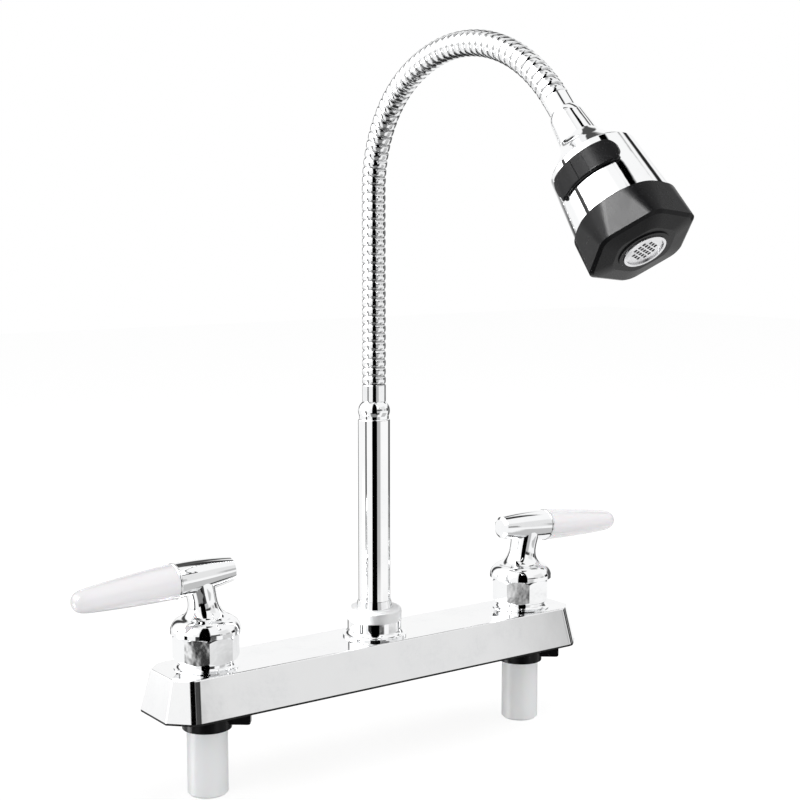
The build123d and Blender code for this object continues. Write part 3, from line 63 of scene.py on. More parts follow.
# --- Node boards ---------------------------------------------------------------------------
class Board:
    """A node tree with short calls for adding nodes and joining them.

    The mix node repeats its socket names for every type of data, so its colour sockets go by number.
    """

    MIX_PLAIN = 6
    MIX_CHANGED = 7
    MIX_RESULT = 2

    def __init__(self, tree: bpy.types.NodeTree) -> None:
        """Start with an empty tree.

        Args:
            tree: The tree to fill.
        """
        self.tree = tree
        self.tree.nodes.clear()

    def add(self, kind: str, settings: dict | None = None, **inputs: object) -> Node:
        """Add one node.

        Args:
            kind: Blender's name of the node type.
            settings: Properties of the node itself.
            inputs: Value or source socket of each input; underscores stand for spaces.

        Returns:
            The new node.
        """
        node = self.tree.nodes.new(kind)
        for name, value in (settings or {}).items():
            setattr(node, name, value)
        for name, value in inputs.items():
            self.feed(node.inputs[name.replace("_", " ")], value)
        return node

    def feed(self, target: Socket, value: object) -> None:
        """Set an input to a value, or join it to a source socket.

        Args:
            target: The input socket.
            value: A number, a colour, a vector or an output socket.
        """
        if isinstance(value, bpy.types.NodeSocket):
            self.tree.links.new(value, target)
        elif isinstance(value, (tuple, list)) and target.type == "RGBA" and len(value) == 3:
            target.default_value = (*value, 1.0)
        else:
            target.default_value = value

    def math(self, operation: str, *values: object) -> Socket:
        """Join values by a Math node.

        Args:
            operation: The Math node's operation.
            values: One to three values or sockets, in the node's order.

        Returns:
            The result.
        """
        node = self.add("ShaderNodeMath", {"operation": operation})
        for target, value in zip(node.inputs, values):
            self.feed(target, value)
        return node.outputs[0]

    def remap(self, value: object, old: tuple[float, float], new: tuple[object, object]) -> Socket:
        """Map a value smoothly from one range to another.

        Args:
            value: The value or socket.
            old: Range of the value.
            new: Range of the result, as numbers or sockets.

        Returns:
            The result.
        """
        node = self.add(
            "ShaderNodeMapRange",
            {"interpolation_type": "SMOOTHSTEP"},
            Value=value,
            From_Min=old[0],
            From_Max=old[1],
            To_Min=new[0],
            To_Max=new[1],
        )
        return node.outputs[0]

    def noise(self, place: object, scale: object, detail: float) -> Socket:
        """Add a noise texture and return its value from 0 to 1."""
        node = self.add("ShaderNodeTexNoise", Vector=place, Scale=scale, Detail=detail)
        return node.outputs["Fac"]

    def tint(self, share: object, plain: object, changed: object) -> Socket:
        """Mix two colours.

        Args:
            share: Share of the changed colour, as a number or a socket.
            plain: Colour at share 0.
            changed: Colour at share 1.

        Returns:
            The mixed colour.
        """
        node = self.add("ShaderNodeMix", {"data_type": "RGBA"})
        self.feed(node.inputs["Factor"], share)
        self.feed(node.inputs[self.MIX_PLAIN], plain)
        self.feed(node.inputs[self.MIX_CHANGED], changed)
        return node.outputs[self.MIX_RESULT]


class Effect:
    """A shader node group with named sockets that several materials use."""

    def __init__(self, name: str, inputs: dict[str, float], outputs: tuple[str, ...]) -> None:
        """Make the group's sockets.

        Args:
            name: Name of the group.
            inputs: Name and default of each input value.
            outputs: Name of each output value.
        """
        self.tree = bpy.data.node_groups.new(name, "ShaderNodeTree")
        sockets = self.tree.interface
        for label, value in inputs.items():
            socket = sockets.new_socket(label, in_out="INPUT", socket_type="NodeSocketFloat")
            socket.default_value = value
        for label in outputs:
            sockets.new_socket(label, in_out="OUTPUT", socket_type="NodeSocketFloat")
        self.board = Board(self.tree)
        self.source = self.board.add("NodeGroupInput")
        self.sink = self.board.add("NodeGroupOutput")

    def place(self) -> Socket:
        """Return the surface's place in the object's own coordinates."""
        return self.board.add("ShaderNodeTexCoord").outputs["Object"]

    def value(self, label: str) -> Socket:
        """Return one of the group's inputs as a source."""
        return self.source.outputs[label]

    def give(self, label: str, value: Socket) -> None:
        """Send a value to one of the group's outputs."""
        self.board.feed(self.sink.inputs[label], value)

    def use(self, board: Board, **inputs: float) -> Node:
        """Place the group in a material.

        Args:
            board: The material's board.
            inputs: Value of each input.

        Returns:
            The group node.
        """
        return board.add("ShaderNodeGroup", {"node_tree": self.tree}, **inputs)


class Effects:
    """The shared surface effects, each built once.

    A range holds the two values between which a mask fades from off to on: of the noise, of the
    cosine between bent and true normal, or of the light that reaches the surface. The scale and the
    share of a finer layer are relative to the broad one.
    """

    OFF_TO_ON = (0.0, 1.0)
    SMEAR_RANGE = (0.42, 0.72)
    DROP_RANGE = (0.3, 0.7)
    DROP_SHARE = (0.4, 1.0)
    DROP_SCALE = 9.0
    FINE_RIPPLE_SCALE = 5.0
    FINE_RIPPLE_SHARE = 0.12
    CELL_SHARE = 0.5
    EDGE_RANGE = (0.995, 0.86)
    EDGE_SAMPLES = 4
    # Painted shade in grooves: the ambient occlusion range over which it fades in, and its samples.
    GROOVE_SHADE_RANGE = (0.97, 0.7)
    GROOVE_SHADE_SAMPLES = 6

    def __init__(self) -> None:
        """Build every group."""
        self.marks = self.handling_marks()
        self.ripple = self.cast_ripple()
        self.grain = self.moulded_grain()
        self.edges = self.worn_edges()
        self.turning = self.turning_lines()
        # Painted shade that darkens grooves, where less light reaches.
        self.groove_shade = self.painted_groove_shade()

    def handling_marks(self) -> Effect:
        """Build faint smudges and dried drops that change the gloss.

        Returns:
            The group.
        """
        defaults = {"Gloss": 0.05, "Change": 0.03, "Scale": 60.0}
        effect = Effect("handling_marks", defaults, ("Roughness", "Mask"))
        board, place, scale = effect.board, effect.place(), effect.value("Scale")
        broad = board.noise(place, scale, detail=4.0)
        fine = board.noise(place, board.math("MULTIPLY", scale, self.DROP_SCALE), detail=3.0)
        smear = board.remap(broad, old=self.SMEAR_RANGE, new=self.OFF_TO_ON)
        drops = board.remap(fine, old=self.DROP_RANGE, new=self.DROP_SHARE)
        smudge = board.math("MULTIPLY", smear, drops)
        effect.give("Mask", smudge)
        extra = board.math("MULTIPLY", smudge, effect.value("Change"))
        effect.give("Roughness", board.math("ADD", effect.value("Gloss"), extra))
        return effect

    def cast_ripple(self) -> Effect:
        """Build the soft unevenness of a polished casting, as a height.

        Returns:
            The group.
        """
        effect = Effect("cast_ripple", {"Scale": 55.0}, ("Height",))
        board, place, scale = effect.board, effect.place(), effect.value("Scale")
        broad = board.noise(place, scale, detail=1.0)
        fine = board.noise(place, board.math("MULTIPLY", scale, self.FINE_RIPPLE_SCALE), detail=1.0)
        fine = board.math("MULTIPLY", fine, self.FINE_RIPPLE_SHARE)
        effect.give("Height", board.math("ADD", broad, fine))
        return effect

    def moulded_grain(self) -> Effect:
        """Build the fine spark-eroded grain of moulded plastic, as a height and a mask.

        Returns:
            The group.
        """
        effect = Effect("moulded_grain", {"Scale": 2600.0}, ("Height", "Mask"))
        board, place, scale = effect.board, effect.place(), effect.value("Scale")
        fine = board.noise(place, scale, detail=2.0)
        cells = board.add("ShaderNodeTexVoronoi", Vector=place, Scale=scale).outputs["Distance"]
        cells = board.math("MULTIPLY", cells, self.CELL_SHARE)
        effect.give("Height", board.math("ADD", fine, cells))
        effect.give("Mask", fine)
        return effect

    def worn_edges(self) -> Effect:
        """Build a mask that is 1 on convex edges and 0 on open surfaces.

        Returns:
            The group.
        """
        effect = Effect("worn_edges", {"Reach": 0.0006}, ("Mask",))
        board = effect.board
        settings = {"samples": self.EDGE_SAMPLES}
        soft = board.add("ShaderNodeBevel", settings, Radius=effect.value("Reach"))
        turn = board.add("ShaderNodeVectorMath", {"operation": "DOT_PRODUCT"})
        board.feed(turn.inputs[0], soft.outputs["Normal"])
        board.feed(turn.inputs[1], board.add("ShaderNodeNewGeometry").outputs["Normal"])
        mask = board.remap(turn.outputs["Value"], old=self.EDGE_RANGE, new=self.OFF_TO_ON)
        effect.give("Mask", mask)
        return effect

    def painted_groove_shade(self) -> Effect:
        """Build a painted-shade mask: 1 deep in a groove, where shade falls, and 0 on open surfaces.

        Returns:
            The group.
        """
        effect = Effect("painted_groove_shade", {"Reach": 0.001}, ("Mask",))
        board = effect.board
        settings = {"samples": self.GROOVE_SHADE_SAMPLES, "only_local": True}
        # Painted shade: ambient occlusion decides how dark the colour goes in a groove.
        light = board.add("ShaderNodeAmbientOcclusion", settings, Distance=effect.value("Reach"))
        mask = board.remap(light.outputs["AO"], old=self.GROOVE_SHADE_RANGE, new=self.OFF_TO_ON)
        effect.give("Mask", mask)
        return effect

    def turning_lines(self) -> Effect:
        """Build the fine rings that a lathe leaves, as a height.

        Returns:
            The group.
        """
        effect = Effect("turning_lines", {"Scale": 1500.0}, ("Height",))
        wave = effect.board.add(
            "ShaderNodeTexWave",
            {"bands_direction": "Z"},
            Vector=effect.place(),
            Scale=effect.value("Scale"),
            Distortion=0.6,
            Detail=1.0,
        )
        effect.give("Height", wave.outputs["Fac"])
        return effect


# --- Finishes ------------------------------------------------------------------------------
@dataclass(frozen=True)
class Surface:
    """What every finish has: a name, a colour and a gloss."""

    name: str
    colour: Colour
    gloss: float

    def start(self) -> tuple[bpy.types.Material, Board, Node]:
        """Make the material with its Principled shader.

        Returns:
            The material, its board and the shader node.
        """
        material = bpy.data.materials.new(self.name)
        material.use_nodes = True
        board = Board(material.node_tree)
        shader = board.add("ShaderNodeBsdfPrincipled", Base_Color=self.colour, Roughness=self.gloss)
        output = board.add("ShaderNodeOutputMaterial")
        board.feed(output.inputs["Surface"], shader.outputs[0])
        return material, board, shader

    def bump(self, board: Board, shader: Node, height: Socket, depth: float) -> None:
        """Send a height from 0 to 1, of a depth in metres, to the shader's normal."""
        node = board.add("ShaderNodeBump", Height=height, Distance=depth, Strength=1.0)
        board.feed(shader.inputs["Normal"], node.outputs["Normal"])


@dataclass(frozen=True)
class Plated(Surface):
    """Polished metal plating with smudges, soft ripples and toned edges."""

    tarnish: Colour = (0.78, 0.79, 0.81)
    smudge: float = 0.03
    smudge_tone: float = 0.25
    mark_scale: float = 55.0
    ripple_scale: float = 60.0
    ripple_depth: float = 0.00010
    edge_reach: float = 0.0004
    edge_tone: float = 0.3
    satin: tuple[float, float] | None = None
    satin_gloss: float = 0.5
    # Reach and colour of the painted shade that darkens the base colour deep in grooves; a reach of 0
    # leaves it out.
    groove_shade_reach: float = 0.0
    groove_shade_colour: Colour = (0.02, 0.02, 0.022)

    def make(self, effects: Effects) -> bpy.types.Material:
        """Build the material; above the satin heights, in metres, it is brushed, not polished.

        Args:
            effects: The shared surface effects.

        Returns:
            The material.
        """
        material, board, shader = self.start()
        shader.inputs["Metallic"].default_value = 1.0
        marks = effects.marks.use(board, Gloss=self.gloss, Change=self.smudge, Scale=self.mark_scale)
        edges = effects.edges.use(board, Reach=self.edge_reach)
        share = board.math("MULTIPLY", marks.outputs["Mask"], self.smudge_tone)
        share = board.math("ADD", share, board.math("MULTIPLY", edges.outputs["Mask"], self.edge_tone))
        colour = board.tint(share, self.colour, self.tarnish)
        # Painted shade: the base colour goes dark deep in grooves, where less light reaches.
        if self.groove_shade_reach:
            groove_shade = effects.groove_shade.use(board, Reach=self.groove_shade_reach)
            colour = board.tint(groove_shade.outputs["Mask"], colour, self.groove_shade_colour)
        board.feed(shader.inputs["Base Color"], colour)
        gloss = marks.outputs["Roughness"]
        if self.satin:
            place = board.add("ShaderNodeTexCoord").outputs["Object"]
            height = board.add("ShaderNodeSeparateXYZ", Vector=place).outputs["Z"]
            brushed = board.remap(height, old=self.satin, new=(0.0, self.satin_gloss))
            gloss = board.math("ADD", gloss, brushed)
        board.feed(shader.inputs["Roughness"], gloss)
        ripple = effects.ripple.use(board, Scale=self.ripple_scale)
        self.bump(board, shader, ripple.outputs["Height"], self.ripple_depth)
        return material


@dataclass(frozen=True)
class Moulded(Surface):
    """Moulded plastic with fine grain, handling marks and lighter edges."""

    worn: Colour = (0.06, 0.06, 0.065)
    smudge: float = 0.08
    mark_scale: float = 90.0
    grain_scale: float = 2600.0
    grain_depth: float = 0.000012
    grain_tone: float = 0.12
    edge_reach: float = 0.0005
    edge_tone: float = 0.5
    coat: float = 0.0
    coat_gloss: float = 0.1
    translucency: float = 0.0
    light_depth: float = 0.002
    sheen: float = 0.5

    def make(self, effects: Effects) -> bpy.types.Material:
        """Build the material.

        Args:
            effects: The shared surface effects.

        Returns:
            The material.
        """
        material, board, shader = self.start()
        shader.inputs["Specular IOR Level"].default_value = self.sheen
        shader.inputs["Coat Weight"].default_value = self.coat
        shader.inputs["Coat Roughness"].default_value = self.coat_gloss
        shader.inputs["Subsurface Weight"].default_value = self.translucency
        shader.inputs["Subsurface Scale"].default_value = self.light_depth
        marks = effects.marks.use(board, Gloss=self.gloss, Change=self.smudge, Scale=self.mark_scale)
        edges = effects.edges.use(board, Reach=self.edge_reach)
        grain = effects.grain.use(board, Scale=self.grain_scale)
        share = board.math("MULTIPLY", edges.outputs["Mask"], self.edge_tone)
        share = board.math("ADD", share, board.math("MULTIPLY", grain.outputs["Mask"], self.grain_tone))
        board.feed(shader.inputs["Base Color"], board.tint(share, self.colour, self.worn))
        board.feed(shader.inputs["Roughness"], marks.outputs["Roughness"])
        self.bump(board, shader, grain.outputs["Height"], self.grain_depth)
        return material


@dataclass(frozen=True)
class Turned(Surface):
    """Bare machined metal with fine turning lines."""

    tarnish: Colour = (0.4, 0.3, 0.15)
    smudge: float = 0.12
    mark_scale: float = 120.0
    line_scale: float = 1500.0
    line_depth: float = 0.00001

    def make(self, effects: Effects) -> bpy.types.Material:
        """Build the material.

        Args:
            effects: The shared surface effects.

        Returns:
            The material.
        """
        material, board, shader = self.start()
        shader.inputs["Metallic"].default_value = 1.0
        marks = effects.marks.use(board, Gloss=self.gloss, Change=self.smudge, Scale=self.mark_scale)
        colour = board.tint(marks.outputs["Mask"], self.colour, self.tarnish)
        board.feed(shader.inputs["Base Color"], colour)
        board.feed(shader.inputs["Roughness"], marks.outputs["Roughness"])
        lines = effects.turning.use(board, Scale=self.line_scale)
        self.bump(board, shader, lines.outputs["Height"], self.line_depth)
        return material


class Look(Enum):
    """Every finish that the faucet shows."""

    CAST_CHROME = Plated("cast_chrome", (0.94, 0.945, 0.95), 0.03)
    NUT_CHROME = Plated("nut_chrome", (0.93, 0.935, 0.94), 0.03, satin=(0.029, 0.0298))
    TUBE_CHROME = Plated("tube_chrome", (0.95, 0.953, 0.955), 0.02, ripple_depth=0.00003)
    COVER_CHROME = Plated("cover_chrome", (0.92, 0.922, 0.925), 0.06, smudge=0.05, ripple_scale=30.0)
    HOSE_CHROME = Plated(
        "hose_chrome",
        (0.88, 0.885, 0.89),
        0.05,
        smudge=0.06,
        mark_scale=220.0,
        ripple_scale=260.0,
        ripple_depth=0.00003,
        # Painted shade in the grooves between the ribs.
        groove_shade_reach=0.0014,
    )
    GRIP_WHITE = Moulded(
        "grip_white",
        (0.90, 0.885, 0.905),
        0.2,
        worn=(0.86, 0.85, 0.88),
        grain_depth=0.000004,
        coat=0.4,
        translucency=0.08,
    )
    SHANK_WHITE = Moulded(
        "shank_white", (0.89, 0.90, 0.91), 0.38, worn=(0.93, 0.93, 0.93), translucency=0.1
    )
    NOZZLE_BLACK = Moulded(
        "nozzle_black", (0.006, 0.006, 0.0065), 0.27, worn=(0.02, 0.02, 0.022), smudge=0.05, sheen=0.14
    )
    NUT_BLACK = Moulded(
        "nut_black", (0.005, 0.005, 0.0055), 0.2, worn=(0.02, 0.02, 0.02), smudge=0.06, sheen=0.14
    )
    SEAL_RUBBER = Moulded(
        "seal_rubber",
        (0.012, 0.012, 0.012),
        0.62,
        worn=(0.03, 0.03, 0.03),
        grain_scale=1800.0,
        grain_depth=0.00002,
        sheen=0.12,
    )
    CORE_GREY = Moulded("core_grey", (0.46, 0.47, 0.49), 0.45, worn=(0.55, 0.56, 0.58))
    DISC_CERAMIC = Moulded("disc_ceramic", (0.86, 0.84, 0.79), 0.12, worn=(0.9, 0.9, 0.88), coat=0.3)
    BRASS = Turned("turned_brass", (0.66, 0.50, 0.24), 0.25)
    STEEL = Turned("brushed_steel", (0.62, 0.62, 0.63), 0.24, tarnish=(0.45, 0.45, 0.46))
    SCREEN_STEEL = Turned("screen_steel", (0.86, 0.86, 0.87), 0.3, tarnish=(0.7, 0.7, 0.71))


class Paints:
    """The materials of all finishes, made once."""

    def __init__(self) -> None:
        """Build the effects and every material."""
        effects = Effects()
        self.made = {look: look.value.make(effects) for look in Look}

    def dress(self, look: Look, *names: str) -> None:
        """Give a finish to CAD nodes.

        Args:
            look: The finish.
            names: Node names.
        """
        for name in names:
            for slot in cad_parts[name].material_slots:
                slot.material = self.made[look]
            log.info("%s is dressed in %s", name, self.made[look].name)

    def coat(self, piece: bpy.types.Object, look: Look) -> None:
        """Give a finish to a new piece."""
        piece.data.materials.clear()
        piece.data.materials.append(self.made[look])


# --- Sub-assemblies ------------------------------------------------------------------------
class Side(Enum):
    """The two ends of the deck cover."""

    LEFT = "left"
    RIGHT = "right"

    def names(self, *pieces: str) -> list[str]:
        """Return the node names of this side's pieces."""
        return [f"{self.value}_{piece}" for piece in pieces]


@dataclass
class DeckBase:
    """Deck cover with its gasket, hub and cross tubes."""

    paints: Paints

    def build(self) -> None:
        """Dress the pieces that lie on the deck."""
        self.paints.dress(Look.COVER_CHROME, "deck_cover")
        self.paints.dress(Look.SEAL_RUBBER, "base_gasket", "cross_tube_seals", "seat_seals")
        self.paints.dress(Look.SHANK_WHITE, "center_hub")
        for side in Side:
            self.paints.dress(Look.BRASS, *side.names("cross_tube"))


@dataclass
class Valve:
    """One valve: shank, wing nut, collar, bonnet nut, cartridge and fixed disc."""

    side: Side
    paints: Paints

    def build(self) -> None:
        """Dress the valve's fixed pieces."""
        self.paints.dress(Look.SHANK_WHITE, *self.side.names("valve_body"))
        self.paints.dress(Look.NUT_BLACK, *self.side.names("wing_nut"))
        self.paints.dress(Look.CAST_CHROME, *self.side.names("collar", "bonnet_nut"))
        self.paints.dress(Look.CORE_GREY, *self.side.names("cartridge"))
        self.paints.dress(Look.DISC_CERAMIC, *self.side.names("fixed_disc"))


@dataclass
class Handle:
    """One lever handle with the stem and the disc that it turns."""

    side: Side
    paints: Paints

    def build(self) -> None:
        """Dress the handle's pieces."""
        self.paints.dress(Look.CAST_CHROME, *self.side.names("handle_hub", "grip_ring", "end_plug"))
        self.paints.dress(Look.GRIP_WHITE, *self.side.names("grip"))
        self.paints.dress(Look.STEEL, *self.side.names("grip_stud", "set_screw"))
        self.paints.dress(Look.BRASS, *self.side.names("stem"))
        self.paints.dress(Look.DISC_CERAMIC, *self.side.names("moving_disc"))
        self.paints.dress(Look.SEAL_RUBBER, *self.side.names("stem_seal"))


@dataclass
class Spout:
    """Spout nut, bush, upright tube and ferrule."""

    paints: Paints

    def build(self) -> None:
        """Dress the spout's pieces."""
        self.paints.dress(Look.NUT_CHROME, "spout_nut")
        self.paints.dress(Look.CAST_CHROME, "spout_bush", "hose_ferrule")
        self.paints.dress(Look.TUBE_CHROME, "spout_tube")
        self.paints.dress(Look.SEAL_RUBBER, "spout_seals")
        self.paints.dress(Look.STEEL, "spout_clip")


@dataclass
class RibbedHose:
    """Strip-wound gooseneck: ribbed lengths that each reach over one joint.

    Sizes are in millimetres, bends are radius and turn in degrees, and the profile is one rib:
    share of the pitch and share of the rib's height.
    """

    paints: Paints
    foot: float = 146.0
    straight: float = 109.4
    bends: tuple[tuple[float, float], ...] = ((65.0, 62.0), (86.45, 77.3))
    ribs: int = 66
    ribs_per_segment: int = 11
    sleeve_ribs: int = 2
    crest: float = 6.25
    groove: float = 5.65
    around: int = 64
    profile: tuple[tuple[float, float], ...] = (
        (0.0, 0.0),
        (0.07, 0.1),
        (0.13, 0.62),
        (0.22, 0.88),
        (0.36, 0.98),
        (0.5, 1.0),
        (0.64, 0.98),
        (0.78, 0.88),
        (0.87, 0.62),
        (0.93, 0.1),
    )
    length: float = field(init=False)
    pitch: float = field(init=False)

    def __post_init__(self) -> None:
        """Work out the length and the pitch of the ribs."""
        self.length = self.straight + sum(radius * math.radians(turn) for radius, turn in self.bends)
        self.pitch = self.length / self.ribs

    def section(self, distance: float) -> tuple[Vector, Vector]:
        """Find the centre line's point and direction.

        Args:
            distance: Distance from the hose's foot in millimetres.

        Returns:
            The point and the unit direction, both in the YZ plane.
        """
        rise = min(distance, self.straight)
        y, z, angle, left = 0.0, self.foot + rise, 0.0, distance - rise
        for radius, turn in self.bends:
            step = min(left / radius, math.radians(turn))
            y -= radius * (math.cos(angle) - math.cos(angle + step))
            z += radius * (math.sin(angle + step) - math.sin(angle))
            angle += step
            left -= step * radius
        return Vector((0, y, z)), Vector((0, -math.sin(angle), math.cos(angle)))

    def rib_radius(self, rib: int, height: float) -> float:
        """Return the radius at a share of a rib's height; the first ribs are a plain sleeve."""
        plain = rib < self.sleeve_ribs
        return self.crest if plain else self.groove + (self.crest - self.groove) * height

    def loop(self, mesh: bmesh.types.BMesh, distance: float, radius: float) -> Loop:
        """Add one circle of vertices round the centre line.

        Args:
            mesh: The mesh to add to.
            distance: Distance from the hose's foot in millimetres.
            radius: The circle's radius in millimetres.

        Returns:
            The vertices in order.
        """
        centre, along = self.section(distance)
        side = Vector((1, 0, 0))
        front = along.cross(side)
        made = []
        for step in range(self.around):
            angle = 2 * math.pi * step / self.around
            point = centre + radius * (math.cos(angle) * side + math.sin(angle) * front)
            made.append(mesh.verts.new(point * MM))
        return made

    def piece(self, name: str, first: int, last: int) -> bpy.types.Object:
        """Build a closed length of hose from rib first up to rib last.

        Args:
            name: Name of the new piece.
            first: Index of the first rib.
            last: Index after the last rib.

        Returns:
            The new object.
        """
        mesh = bmesh.new()
        stations = [
            ((rib + share) * self.pitch, self.rib_radius(rib, height))
            for rib in range(first, last)
            for share, height in self.profile
        ]
        stations.append((last * self.pitch, self.groove))
        loops = [self.loop(mesh, *station) for station in stations]
        for low, high in zip(loops, loops[1:]):
            for index in range(self.around):
                after = (index + 1) % self.around
                mesh.faces.new((low[index], high[index], high[after], low[after]))
        mesh.faces.new(loops[0])
        mesh.faces.new(reversed(loops[-1]))
        bmesh.ops.recalc_face_normals(mesh, faces=mesh.faces)
        data = bpy.data.meshes.new(name)
        mesh.to_mesh(data)
        mesh.free()
        data.shade_smooth()
        made = bpy.data.objects.new(name, data)
        bpy.context.scene.collection.objects.link(made)
        self.paints.coat(made, Look.HOSE_CHROME)
        log.info("%s has ribs %d to %d", name, first, last - 1)
        return made

    def build(self) -> None:
        """Build the foot, the lengths over the joints and the end; tie the foot and end to their
        bodies.
        """
        half = self.ribs_per_segment // 2
        joints = self.ribs // self.ribs_per_segment - 1
        bodies = ["spout"] + [f"gooseneck_{number}" for number in range(2, joints + 2)]
        foot = self.piece("hose_foot", 0, half + 1)
        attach(foot, bodies[0])
        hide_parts("hose_segment_1")
        for number in range(1, joints + 1):
            first = number * self.ribs_per_segment - half
            last = first + self.ribs_per_segment
            bend = self.piece(f"hose_bend_{number}", first, last)
            start, end = (self.section(rib * self.pitch)[0] * MM for rib in (first, last))
            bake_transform(bend)
            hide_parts(f"hose_segment_{number}", f"hose_segment_{number + 1}")
        end_piece = self.piece("hose_end", self.ribs - half, self.ribs)
        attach(end_piece, bodies[-1])
        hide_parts(f"hose_segment_{joints + 1}")


@dataclass
class SprayHead:
    """Spray head with its swivel, selector and aerator."""

    paints: Paints

    def build(self) -> None:
        """Dress the head's pieces."""
        self.paints.dress(Look.CAST_CHROME, "upper_ferrule", "neck_cone", "head_shell")
        self.paints.dress(Look.SEAL_RUBBER, "head_seal", "nozzle_gasket")
        self.paints.dress(Look.CORE_GREY, "head_core", "diverter_spool")
        self.paints.dress(Look.NOZZLE_BLACK, "selector_rocker", "nozzle_ring")
        self.paints.dress(Look.SCREEN_STEEL, "aerator_housing", "aerator_screen")


# --- Studio --------------------------------------------------------------------------------
@dataclass(frozen=True)
class Card:
    """A card beside the set, by its angles in degrees as seen from the faucet.

    Turn is measured from the camera's side, to the right as the camera sees it. A level under 1 is
    a dark card and one over 1 a soft box.
    """

    name: str
    turn: float
    half_width: float
    low: float
    high: float
    level: float
    soft: float = 3.0
    soft_height: float = 4.0


@dataclass(frozen=True)
class Lamp:
    """A square soft lamp: its place and side in metres and its power in watts."""

    name: str
    place: tuple[float, float, float]
    size: float
    power: float


